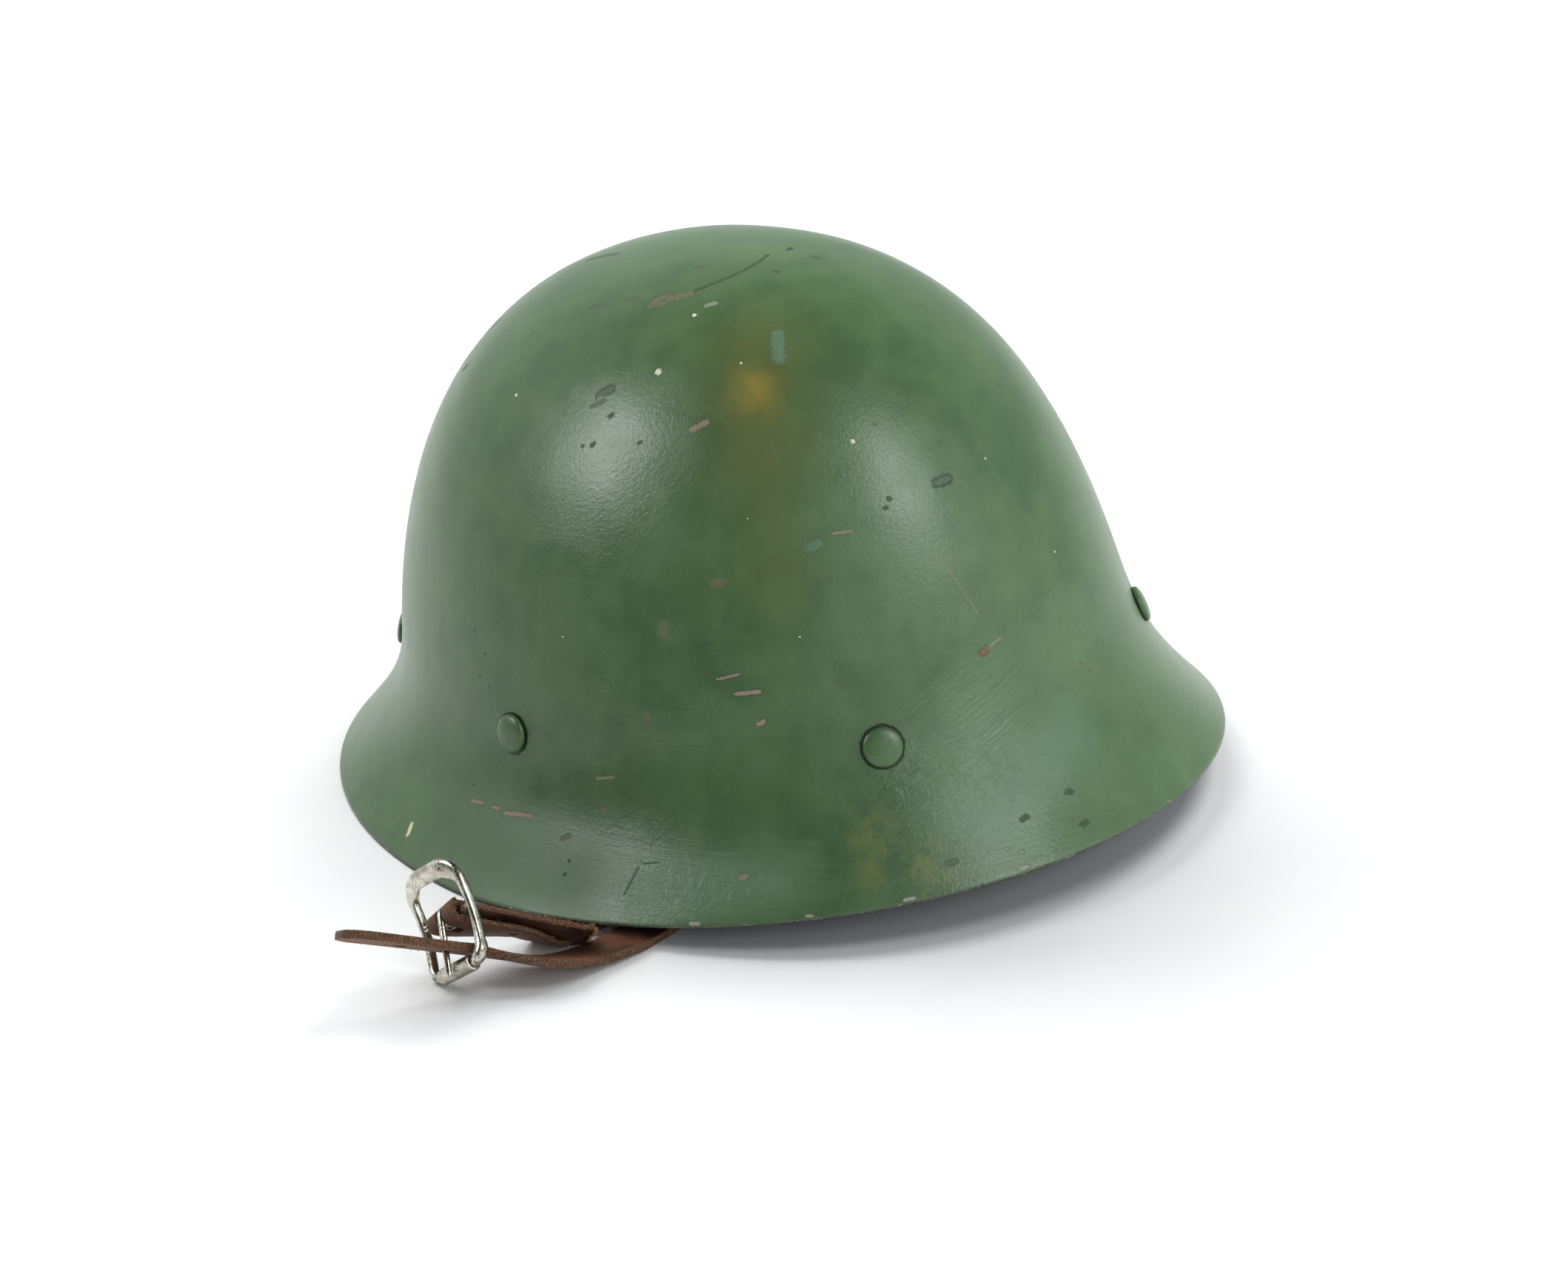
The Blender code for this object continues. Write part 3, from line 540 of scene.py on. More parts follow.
MARKS = (
    Mark("scrape", -73.0, 0.248, -66.9, 0.232, 1.37),
    Mark("scrape", -67.0, 0.243, -57.6, 0.231, 1.48),
    Mark("scrape", -74.3, 0.262, -68.1, 0.253, 1.03),
    Mark("scuff", -156.1, 0.215, -145.4, 0.155, 1.03),
    Mark("scuff", -87.4, 0.249, -82.3, 0.241, 1.14),
    Mark("scuff", -102.6, 0.283, -99.0, 0.274, 1.14),
    Mark("scuff", -57.1, 0.151, -49.6, 0.142, 0.91),
    Mark("pale", -50.1, 0.269, -47.1, 0.267, 0.91),
    Mark("scuff", -152.3, 0.452, -150.1, 0.414, 0.91),
    Mark("dark", -144.4, 0.524, -143.2, 0.510, 0.91),
    Mark("scuff", -120.2, 0.380, -119.5, 0.368, 0.68),
    Mark("scuff", -107.1, 0.384, -106.2, 0.373, 0.68),
    Mark("dark", 3.0, 0.147, 6.4, 0.146, 0.80),
    Mark("outlined", -79.7, 0.460, -76.7, 0.447, 1.25),
    Mark("scuff", -81.0, 0.482, -77.9, 0.470, 0.68),
    Mark("dark", -75.1, 0.499, -74.4, 0.496, 0.68),
    Mark("dark", -78.5, 0.551, -77.8, 0.548, 0.68),
    Mark("dark", -81.0, 0.555, -80.7, 0.552, 0.57),
    Mark("dark", -66.5, 0.550, -66.0, 0.548, 0.57),
    Mark("dark", -21.7, 0.737, -21.5, 0.737, 0.68),
    Mark("dark", -22.8, 0.750, -22.6, 0.750, 0.68),
    Mark("speck", -63.8, 0.416, -63.8, 0.416, 0.73),
    Mark("speck", -108.8, 0.488, -108.8, 0.488, 0.55),
    Mark("speck", -24.4, 0.624, -24.4, 0.624, 0.59),
    Mark("speck", -54.6, 0.292, -54.6, 0.292, 0.36),
    Mark("speck", -42.0, 0.422, -42.0, 0.422, 0.30),
    Mark("speck", -2.0, 0.733, -2.0, 0.733, 0.30),
    Mark("speck", -80.7, 0.851, -80.7, 0.851, 0.32),
    Mark("speck", 4.6, 0.923, 4.6, 0.923, 0.32),
    Mark("speck", -39.8, 0.901, -39.8, 0.901, 0.30),
    Mark("speck", -45.2, 0.705, -45.2, 0.705, 0.27),
    Mark("rust", -19.5, 0.606, -19.3, 0.606, 0.41),
    Mark("rust", -47.1, 0.748, -47.0, 0.749, 0.36),
    Mark("smear", -31.2, 0.375, -33.0, 0.429, 1.82),
    Mark("thin", -32.1, 0.764, -28.9, 0.769, 0.36),
    Mark("pale_green", -36.0, 0.775, -34.4, 0.772, 1.37),
    Mark("outlined", -13.0, 0.739, -10.7, 0.740, 1.14),
    Mark("brown", -52.0, 0.795, -50.6, 0.793, 1.03),
    Mark("pink", -54.4, 0.537, -51.3, 0.527, 0.96),
    Mark("primer", -50.5, 0.957, -46.5, 0.962, 0.59),
    Mark("primer", -52.9, 0.931, -49.4, 0.931, 0.41),
    Mark("primer", -47.7, 1.021, -46.7, 1.013, 0.68),
    Mark("primer", -99.0, 1.484, -96.3, 1.466, 0.59),
    Mark("primer", -94.4, 1.469, -93.0, 1.464, 0.59),
    Mark("primer", -91.3, 1.478, -86.0, 1.452, 0.68),
    Mark("thin", -74.5, 1.180, -71.2, 1.171, 0.36),
    Mark("rust", -73.1, 1.358, -72.5, 1.348, 0.55),
    Mark("brown", -79.1, 1.557, -78.1, 1.534, 0.78),
    Mark("dark", -77.2, 1.686, -77.0, 1.684, 0.55),
    Mark("dark", -77.3, 1.766, -77.1, 1.765, 0.55),
    Mark("scratch", -67.4, 1.848, -65.7, 1.675, 0.32),
    Mark("scratch", -65.7, 1.675, -62.8, 1.666, 0.24),
    Mark("pink", -51.7, 1.776, -51.0, 1.770, 0.78),
    Mark("rust", -14.2, 1.036, -12.7, 1.028, 0.96),
    Mark("thin", -12.7, 1.028, -10.5, 1.010, 0.36),
    Mark("rust", 1.7, 1.252, 2.0, 1.255, 0.50),
    Mark("rust", 3.1, 1.306, 3.4, 1.309, 0.41),
    Mark("dark", -9.6, 1.760, -8.7, 1.763, 0.91),
    Mark("dark", -9.8, 1.906, -9.1, 1.906, 0.91),
    Mark("dark", -16.6, 1.794, -15.8, 1.790, 0.91),
    Mark("scuff", -27.1, 1.878, -26.1, 1.875, 0.91),
    Mark("pale", -19.9, 1.889, -19.5, 1.887, 0.55),
    Mark("pale", -18.6, 1.920, -18.2, 1.918, 0.55),
    Mark("dark", -99.9, 1.385, -99.6, 1.391, 0.41),
    Mark("scuff", -49.3, 1.215, -48.7, 1.204, 0.55),
    Mark("scuff", -65.6, 0.983, -64.8, 0.978, 0.68),
    Mark("scuff", -35.7, 0.983, -35.0, 0.980, 0.46),
    Mark("cream", -108.8, 1.866, -109.3, 1.809, 0.91),
    Mark("scratch", -55.2, 0.224, -12.0, 0.143, 0.68),
    Mark("outlined", 4.9, 0.194, 5.6, 0.204, 0.55),
    Mark("outlined", -19.4, 0.200, -17.9, 0.209, 0.50),
    Mark("scratch", -49.3, 0.829, -52.7, 0.876, 0.20),
    Mark("scratch", -52.7, 0.878, -55.2, 0.880, 0.20),
    Mark("thin", -16.8, 0.848, -12.9, 0.965, 0.16),
    Mark("blotch", -61.2, 0.844, -61.3, 0.853, 1.70),
    Mark("blotch", -64.8, 0.966, -64.8, 0.972, 1.40),
    Mark("dark", -102.8, 0.874, -102.3, 0.878, 0.40),
    Mark("dark", -99.6, 0.899, -99.2, 0.902, 0.40),
    Mark("dark", -100.8, 0.936, -100.4, 0.939, 0.40),
    Mark("dark", -98.3, 0.945, -98.1, 0.946, 0.40),
    Mark("chip", -58.3, 1.982, -57.0, 1.982, 0.60),
    Mark("chip", -44.5, 1.984, -43.3, 1.984, 0.50),
    Mark("chip", -33.0, 1.982, -31.6, 1.982, 0.55),
    Mark("chip", -19.6, 1.980, -18.2, 1.980, 0.60),
)

# Soft patches: the attribute, two ends as an angle and a row, and a radius in millimetres
Patch = namedtuple("Patch", "name angle row end_angle end_row radius share")
PATCHES = (
    Patch("stain", -40.3, 0.478, -40.3, 0.492, 6.0, 1.0),
    Patch("halo", -38.0, 0.400, -41.0, 0.600, 15.0, 0.85),
    Patch("halo", -41.0, 0.600, -41.8, 0.814, 11.0, 0.50),
    Patch("olive", -29.4, 1.877, -31.0, 1.870, 9.0, 1.0),
    Patch("olive", -35.3, 1.849, -35.0, 1.615, 8.0, 0.8),
    # Painted shade on the brim's left and lower side, with a more matte finish
    Patch("dull_and_shade", -102.0, 1.680, -76.0, 1.790, 15.0, 1.0),
    Patch("dull_and_shade", -112.0, 1.300, -98.0, 1.680, 16.0, 0.5),
    # Painted highlights on the brim, pale bluish
    Patch("painted_highlight", -64.0, 1.810, -48.0, 1.800, 9.0, 0.75),
    Patch("painted_highlight", -20.0, 1.740, -6.0, 1.540, 10.0, 1.0),
    Patch("wrinkled", -30.0, 1.430, -22.0, 1.450, 9.0, 0.9),
    Patch("wrinkled", -18.0, 1.560, -10.0, 1.600, 11.0, 1.0),
    Patch("wrinkled", -66.0, 1.820, -46.0, 1.810, 8.0, 0.8),
    Patch("slant_strokes", -23.0, 1.320, 1.5, 1.100, 20.0, 1.5),
    Patch("slant_strokes", -60.0, 0.700, 20.0, 0.800, 40.0, 0.25),
    Patch("level_strokes", -90.0, 1.800, -66.0, 1.800, 18.0, 0.7),
    Patch("level_strokes", -66.0, 1.800, -46.0, 1.800, 16.0, 1.6),
    Patch("level_strokes", -46.0, 1.800, -20.0, 1.800, 20.0, 0.9),
    Patch("level_strokes", -20.0, 1.800, 40.0, 1.750, 22.0, 0.7),
    Patch("level_strokes", 100.0, 1.800, 180.0, 1.800, 30.0, 0.7),
    Patch("level_strokes", -180.0, 1.800, -100.0, 1.800, 30.0, 0.7),
)


def mesh_object(name, verts, faces, smooth=True):
    mesh = bpy.data.meshes.new(name)
    mesh.from_pydata([tuple(v) for v in verts], [], faces)
    mesh.validate()
    made = bpy.data.objects.new(name, mesh)
    bpy.context.scene.collection.objects.link(made)
    if smooth:
        mesh.shade_smooth()
    return made


def keep_values(mesh, name, values, domain="POINT", kind="FLOAT", field="value"):
    made = mesh.attributes.new(name, kind, domain)
    made.data.foreach_set(field, np.asarray(values, np.float32).ravel())


def point_values(mesh, name, values):
    keep_values(mesh, name, values)


def corner_values(mesh, name, values):
    keep_values(mesh, name, values, "CORNER")


def corner_vectors(mesh, name, values):
    keep_values(mesh, name, values, "CORNER", "FLOAT_VECTOR", "vector")


def from_segment(points, a, b):
    along = b - a
    share = np.clip((points - a) @ along / max(float(along @ along), 1e-12), 0.0, 1.0)
    return np.linalg.norm(points - a - share[:, None] * along, axis=1)


# The rim's rounded edge as rows and shares of the wall's thickness, and how far the
# outer and inner faces run towards it
LIP = ((1.994, 0.06), (2.0, 0.25), (2.0, 0.5), (2.0, 0.75), (1.994, 0.94))
LIP_START = 1.985
# The shell's unevenness: waves to a metre and their height in millimetres
WAVES = ((28.0, 0.20), (75.0, 0.07))
UNEVEN_TO_ROW = 1.97


def build_shell(paint):
    rings = [(row, 0.0) for row in np.arange(1, CROWN_ROWS + 1) / CROWN_ROWS]
    rings += [(1.0 + (LIP_START - 1.0) * i / FLARE_ROWS, 0.0) for i in range(1, FLARE_ROWS + 1)]
    first_lip = len(rings)
    rings += LIP
    last_lip = len(rings)
    rings += [(LIP_START * (1 - i / INNER_ROWS), 1.0) for i in range(INNER_ROWS)]
    angles = np.arange(SHELL_SIDES) * 2 * math.pi / SHELL_SIDES
    verts = []
    from_rim = []
    lips = []
    inside = []
    for index, (row, depth) in enumerate(rings):
        ring = shell_points(angles, row) - shell_normals(angles, row) * (depth * WALL)
        verts.append(ring)
        rim = shell_points(angles, 2.0)
        outer = depth <= LIP[0][1]
        from_rim.append(np.linalg.norm(ring - rim, axis=1) / MM if outer else np.zeros(SHELL_SIDES))
        lips.append(np.full(SHELL_SIDES, 1.0 if first_lip < index < last_lip else 0.0))
        inside.append(np.full(SHELL_SIDES, 1.0 if depth == 1.0 else 0.0))
    apex = np.array([[0.0, CROWN_SHIFT, CROWN_HEIGHT]])
    verts = np.concatenate(verts + [apex, apex - np.array([[0.0, 0.0, WALL]])])
    outward = [shell_normals(angles, row) for row, _ in rings]
    outward = np.concatenate(outward + [[[0.0, 0.0, 1.0]], [[0.0, 0.0, 1.0]]])
    ripple = np.array([sum(noise.noise(Vector(v) * waves) * height for waves, height in WAVES)
                       for v in verts])
    ripple *= np.concatenate([np.full(SHELL_SIDES, 1.0 if row < UNEVEN_TO_ROW and depth == 0.0 else 0.0)
                              for row, depth in rings] + [[0.5], [0.0]])
    verts = verts + outward * (ripple * MM)[:, None]
    faces = []
    count = len(rings)
    for r in range(count - 1):
        for i in range(SHELL_SIDES):
            j = (i + 1) % SHELL_SIDES
            a, b = r * SHELL_SIDES, (r + 1) * SHELL_SIDES
            faces.append((a + i, b + i, b + j, a + j))
    top, under = count * SHELL_SIDES, count * SHELL_SIDES + 1
    last = (count - 1) * SHELL_SIDES
    for i in range(SHELL_SIDES):
        j = (i + 1) % SHELL_SIDES
        faces.append((top, i, j))
        faces.append((under, last + j, last + i))
    shell = mesh_object("helmet_shell", verts, faces)
    mesh = shell.data
    point_values(mesh, "from_rim", np.concatenate(from_rim + [[200.0, 0.0]]))
    point_values(mesh, "lip", np.concatenate(lips + [[0.0, 0.0]]))
    point_values(mesh, "inside", np.concatenate(inside + [[0.0, 1.0]]))
    soft = {}
    for patch in PATCHES:
        steps = 9
        line = [np.array(on_shell(patch.angle + (patch.end_angle - patch.angle) * k / steps,
                                  patch.row + (patch.end_row - patch.row) * k / steps))
                for k in range(steps + 1)]
        away = np.min([from_segment(verts, a, b) for a, b in zip(line, line[1:])], axis=0)
        value = patch.share * np.exp(-(away / (patch.radius * MM)) ** 2)
        soft[patch.name] = np.maximum(soft.get(patch.name, 0.0), value)
    for name, values in soft.items():
        if name == "level_strokes":
            values = np.maximum(values, 0.16)
        if name == "slant_strokes":
            values = np.maximum(values, 0.12)
        point_values(mesh, name, values)

    corners = np.zeros(len(mesh.loops), np.int32)
    mesh.loops.foreach_get("vertex_index", corners)
    corner_points = verts[corners]
    starts = np.zeros(len(mesh.polygons), np.int32)
    totals = np.zeros(len(mesh.polygons), np.int32)
    mesh.polygons.foreach_get("loop_start", starts)
    mesh.polygons.foreach_get("loop_total", totals)
    owner = np.repeat(np.arange(len(starts)), totals)
    order = np.concatenate([np.arange(s, s + t) for s, t in zip(starts, totals)])
    corner_face = np.zeros(len(corners), np.int64)
    corner_face[order] = owner
    centres = np.zeros(len(mesh.polygons) * 3)
    mesh.polygons.foreach_get("center", centres)
    centres = centres.reshape(-1, 3)

    values = np.full((len(corners), 3), 50.0)
    colours = np.zeros((len(corners), 4))
    depths = np.zeros(len(corners))
    edges = np.zeros(len(corners))
    nearest = np.full(len(centres), 1e9)
    for mark in MARKS:
        steps = max(1, int(abs(mark.end_angle - mark.angle) / 8))
        line = [np.array(on_shell(mark.angle + (mark.end_angle - mark.angle) * k / steps,
                                  mark.row + (mark.end_row - mark.row) * k / steps))
                for k in range(steps + 1)]
        half = mark.half * MM
        for a, b in zip(line, line[1:]):
            away = from_segment(centres, a, b)
            taken = np.nonzero((away < nearest) & (away < 4 * half + 3 * MM))[0]
            if not len(taken):
                continue
            nearest[taken] = away[taken]
            chosen = np.isin(corner_face, taken)
            middle = (a + b) / 2
            length = max(float(np.linalg.norm(b - a)), 1e-6)
            face = np.array(wall_facing(middle))
            run = (b - a) / length if length > 0.01 * MM else np.cross(face, (0.0, 0.0, 1.0))
            side = np.cross(face, run)
            local = corner_points[chosen] - middle
            u = local @ run
            v = local @ side
            reach = length / 2
            beyond = np.sign(u) * np.maximum(0.0, np.abs(u) - reach)
            values[chosen] = np.stack([beyond / half, v / half, np.zeros(len(v))], 1)
            kind = KINDS[mark.kind]
            colours[chosen] = (*(part * MARK_LIGHT for part in kind.colour), 1.0)
            depths[chosen] = kind.depth
            edges[chosen] = kind.edge
    corner_vectors(mesh, "mark", values)
    keep_values(mesh, "mark_colour", colours, "CORNER", "FLOAT_COLOR", "color")
    corner_values(mesh, "mark_depth", depths)
    corner_values(mesh, "mark_edge", edges)

    rings_at = np.full((len(corners), 3), 50.0)
    for _, angle, _ in RIVETS:
        for sign in (-1, 1):
            point, normal = wall_point(math.radians(sign * angle), RIVET_HEIGHT, 0.0)
            side = normal.cross(Vector((0, 0, 1))).normalized()
            up = side.cross(normal)
            taken = np.linalg.norm(centres - np.array(point), axis=1) < 3 * RIVET_HEAD_RADIUS
            chosen = taken[corner_face]
            local = corner_points[chosen] - np.array(point)
            rings_at[chosen] = np.stack([local @ np.array(side), local @ np.array(up),
                                         np.zeros(chosen.sum())], 1) / RIVET_HEAD_RADIUS
    corner_vectors(mesh, "rivet_ring", rings_at)
    mesh.materials.append(paint)
    mesh.transform(TO_SHELL)
    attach(shell, "root")
    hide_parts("shell")
    return shell


def wall_facing(point):
    """The shell's outward face near a point of its own frame."""
    angle = math.atan2(point[0], -point[1])
    row = row_at_height(angle, float(point[2]))
    return shell_normals(angle, row)


# Rivets

def aim(point, normal):
    turn = normal.to_track_quat("Z", "Y").to_matrix().to_4x4()
    return Matrix.Translation(point) @ turn


def lathe(profile, sides, wobble=0.0, seed=0):
    """Verts and faces turned about Z, closed at both ends where the profile meets the axis."""
    verts = []
    faces = []
    rings = []
    for radius, height in profile:
        if radius == 0.0:
            rings.append([len(verts)] * sides)
            verts.append(Vector((0.0, 0.0, height)))
            continue
        ring = []
        for i in range(sides):
            turn = 2 * math.pi * i / sides
            cosine, sine = math.cos(turn), math.sin(turn)
            spread = 1.0 + wobble * noise.noise(Vector((cosine * 1.5, sine * 1.5, seed * 7.3)))
            ring.append(len(verts))
            verts.append(Vector((radius * spread * cosine, radius * spread * sine, height)))
        rings.append(ring)
    for upper, lower in zip(rings, rings[1:]):
        for i in range(sides):
            j = (i + 1) % sides
            corners = []
            for corner in (upper[i], lower[i], lower[j], upper[j]):
                if corner not in corners:
                    corners.append(corner)
            faces.append(tuple(corners))
    return verts, faces


def rivet_profile(grip):
    """A dome with a slightly flat top and a soft edge, the shank and a flat inner head."""
    dome = []
    rows = 12
    rise = RIVET_HEAD_RISE - RIVET_EDGE
    for i in range(rows + 1):
        turn = math.pi / 2 * i / rows
        radius = RIVET_HEAD_RADIUS * math.sin(turn) if i else 0.0
        flat = math.cos(turn) ** 0.8 if i < rows else 0.0
        dome.append((radius, HEAD_GAP + RIVET_EDGE + rise * flat))
    inside = -grip - SEAT_GAP
    low = inside - INNER_HEAD_RISE
    return dome + [
        (RIVET_HEAD_RADIUS, HEAD_GAP + RIVET_EDGE * 0.45),
        (RIVET_HEAD_RADIUS * 0.97, HEAD_GAP + RIVET_EDGE * 0.1),
        (RIVET_HEAD_RADIUS * 0.92, HEAD_GAP),
        (SHANK_RADIUS, HEAD_GAP),
        (SHANK_RADIUS, inside),
        (INNER_HEAD_RADIUS * 0.95, inside),
        (INNER_HEAD_RADIUS, inside - INNER_HEAD_RISE * 0.25),
        (INNER_HEAD_RADIUS * 0.8, low + INNER_HEAD_RISE * 0.15),
        (0.0, low),
    ]


def build_rivets(paint):
    seed = 0
    for place_name, angle, holds in RIVETS:
        for side, sign, strap in (("right", -1, LOOP_THICKNESS), ("left", 1, TIP_THICKNESS)):
            seed += 1
            grip = WALL + STRAP_GAP + strap if holds else WALL
            verts, faces = lathe(rivet_profile(grip), RIVET_SIDES, 0.02, seed)
            name = "rivet_%s_%s" % (place_name, side)
            rivet = mesh_object("painted_" + name, verts, faces)
            point, normal = wall_point(math.radians(sign * angle), RIVET_HEIGHT, 0.0)
            rivet.data.transform(TO_SHELL @ aim(point, normal))
            rivet.data.set_sharp_from_angle(angle=math.radians(50))
            rivet.data.materials.append(paint)
            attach(rivet, "root")
            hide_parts(name)


# Straps: a flat ribbon along a smooth curve, with its face fixed at key points

def smooth_curve(points, step):
    """Points about one step apart on a curve through all the given ones, and where those fall."""
    padded = [points[0] * 2 - points[1]] + list(points) + [points[-1] * 2 - points[-2]]
    made = []
    marks = []
    for i in range(1, len(padded) - 2):
        before, start, end, after = padded[i - 1:i + 3]
        length = (end - start).length
        leave = (end - before) * (length / ((start - before).length + length))
        arrive = (after - start) * (length / ((after - end).length + length))
        count = max(2, round(length / step))
        marks.append(len(made))
        for k in range(count):
            made.append(bezier(start, start + leave / 3, end - arrive / 3, end, k / count))
    marks.append(len(made))
    made.append(points[-1].copy())
    return made, marks


def tangents(points):
    last = len(points) - 1
    return [(points[min(i + 1, last)] - points[max(i - 1, 0)]).normalized() for i in range(last + 1)]


def carry(normal, tangent):
    return (normal - tangent * normal.dot(tangent)).normalized()


def faces_along(points, keys):
    """A normal for each point, carried without twist and turned evenly to meet each key."""
    runs = tangents(points)
    marks = sorted(keys)
    normals = [None] * len(points)
    for start, end in zip(marks, marks[1:]):
        normals[start] = carry(keys[start], runs[start])
        for i in range(start + 1, end + 1):
            normals[i] = carry(normals[i - 1], runs[i])
        wanted = carry(keys[end], runs[end])
        side = runs[end].cross(normals[end])
        turn = math.atan2(wanted.dot(side), wanted.dot(normals[end]))
        for i in range(start, end + 1):
            share = (i - start) / (end - start)
            normals[i] = Matrix.Rotation(turn * share, 3, runs[i]) @ normals[i]
    return normals, runs


def place(stop, thickness):
    angle = math.radians(stop.angle)
    reach = float(rim_reach(angle)) * stop.reach
    lift = thickness / 2 + stop.lift * RIVET_HEIGHT
    return Vector((reach * math.sin(angle), -reach * math.cos(angle), lift))


def anchor(angle, thickness):
    """Three points of a strap's end against the inside of the wall, held by its rivet, and the face."""
    turned = math.radians(angle)
    middle, normal = wall_point(turned, RIVET_HEIGHT, WALL + STRAP_GAP + thickness / 2)
    around = Vector((math.cos(turned), math.sin(turned), 0.0))
    up = normal.cross(around).normalized()
    if up.z < 0:
        up = -up
    ends = (middle + up * STRAP_END, middle, middle - up * STRAP_END)
    return [LEANING @ end for end in ends], LEANING.to_3x3() @ normal


def lengths(points):
    run = [0.0]
    for a, b in zip(points, points[1:]):
        run.append(run[-1] + (b - a).length)
    return run


def rounded_tip(points):
    run = lengths(points)
    halves = []
    for at in run:
        short = max(0.0, 1.0 - (run[-1] - at) / TIP_TAPER)
        halves.append(STRAP_WIDTH / 2 * math.sqrt(1.0 - (1.0 - TIP_POINT_SHARE ** 2) * short ** 2))
    return halves


def strap_ring(half, top, corner):
    """The strap's section as (aside, up) pairs: soft corners joined by straight runs."""
    ring = []
    for index, (sx, sy) in enumerate(((1, 1), (-1, 1), (-1, -1), (1, -1))):
        for k in range(4):
            turn = math.radians(90 * index + 30 * k)
            ring.append((sx * (half - corner) + corner * math.cos(turn),
                         sy * (top - corner) + corner * math.sin(turn)))
        level = index % 2 == 0
        count = 9 if level else 3
        for k in range(1, count):
            share = 1.0 - 2.0 * k / count
            if level:
                ring.append((sx * share * (half - corner), sy * top))
            else:
                ring.append((sx * half, sy * share * (top - corner)))
    return ring


def ripple(point, size, amount):
    return noise.noise(Vector(point) * (1000.0 / size)) * amount * MM


def leather_ribbon(name, points, keys, thickness, halves, corner, frayed):
    """The strap's mesh, with its place along and across the leather kept at each corner."""
    normals, runs = faces_along(points, keys)
    run = lengths(points)
    verts = []
    places = []
    last = len(points) - 1
    steps = [(i, 1.0) for i in range(len(points))]
    for end in (0, last):
        steps.insert(0 if end == 0 else len(steps), (end, 0.82))
    for order, (i, shrink) in enumerate(steps):
        push = 0.0
        if shrink < 1.0:
            push = -END_ROUND if i == 0 else END_ROUND
        side = runs[i].cross(normals[i])
        ring = []
        for aside, up in strap_ring(halves[i], thickness / 2, corner):
            cut = min(1.0, abs(aside) / halves[i]) ** 12
            middle = points[i] + runs[i] * push
            spot = middle + side * (aside * shrink) + normals[i] * (up * shrink)
            spot += side * (math.copysign(1.0, aside) * cut * ripple(spot, 1.7, 0.16))
            spot += normals[i] * ripple(spot, 9.0, 0.15) * (1.0 - cut)
            if frayed and i > last - 3:
                spot += runs[i] * (ripple(spot, 1.1, 0.9) + ripple(spot, 0.5, 0.5)) * (i - last + 3) / 3
            ring.append(spot)
            places.append((run[i] / MM, aside / MM, up / MM))
        lift = max(0.0, -min(spot.z for spot in ring))
        verts += [spot + Vector((0.0, 0.0, lift)) for spot in ring]
    size = len(ring)
    faces = []
    for r in range(len(steps) - 1):
        for k in range(size):
            m = (k + 1) % size
            a, b = r * size, (r + 1) * size
            faces.append((a + k, a + m, b + m, b + k))
    faces.append(tuple(range(size - 1, -1, -1)))
    faces.append(tuple(range(len(verts) - size, len(verts))))
    strap = mesh_object(name, verts, faces)
    mesh = strap.data
    corners = np.zeros(len(mesh.loops), np.int32)
    mesh.loops.foreach_get("vertex_index", corners)
    places = np.array(places)[corners]
    corner_vectors(mesh, "strap_at", places)
    halves_at = np.array([halves[i] / MM for i, _ in steps]).repeat(size)[corners]
    cut = np.clip((np.abs(places[:, 1]) - halves_at + 0.55) / 0.35, 0.0, 1.0)
    corner_values(mesh, "cut_edge", cut)
    corner_values(mesh, "flesh", (places[:, 2] < 0).astype(float) * (1.0 - cut))
    return strap, normals, runs, run


def face_outward(mesh):
    bm = bmesh.new()
    bm.from_mesh(mesh)
    bmesh.ops.recalc_face_normals(bm, faces=bm.faces)
    bm.to_mesh(mesh)
    bm.free()


def body(name, verts, faces, matrix):
    made = mesh_object(name, verts, faces, smooth=False)
    made.data.transform(matrix)
    face_outward(made.data)
    return made


def cut_or_join(target, tools, operation):
    """Applies an exact boolean with each tool and drops the tools."""
    face_outward(target.data)
    for tool in tools:
        step = target.modifiers.new(tool.name, "BOOLEAN")
        step.operation = operation
        step.object = tool
        step.solver = "EXACT"
        step.use_self = True
    bpy.context.view_layer.update()
    graph = bpy.context.evaluated_depsgraph_get()
    made = bpy.data.meshes.new_from_object(target.evaluated_get(graph))
    target.modifiers.clear()
    target.data = made
    for tool in tools:
        bpy.data.objects.remove(tool)


def punch(at, radius, depth=PUNCH_DEPTH):
    profile = ((0.0, depth), (radius, depth), (radius, -depth), (0.0, -depth))
    verts, faces = lathe(profile, 24)
    return body("punch", verts, faces, at)


def rivet_hole(angle):
    point, normal = wall_point(math.radians(angle), RIVET_HEIGHT, WALL)
    return punch(LEANING @ aim(point, normal), SHANK_RADIUS + SHANK_PLAY)


def on_floor(points, thickness):
    for point in points:
        point.z = max(point.z, thickness / 2)


def finish_mesh(piece, material, sharp):
    """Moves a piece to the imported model's frame and gives it its shading."""
    mesh = piece.data
    mesh.transform(SHIFT)
    mesh.shade_smooth()
    mesh.set_sharp_from_angle(angle=math.radians(sharp))
    mesh.materials.clear()
    mesh.materials.append(material)


def finish_strap(strap, node, leather):
    finish_mesh(strap, leather, 50)
    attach(strap, "root")
    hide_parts(node)


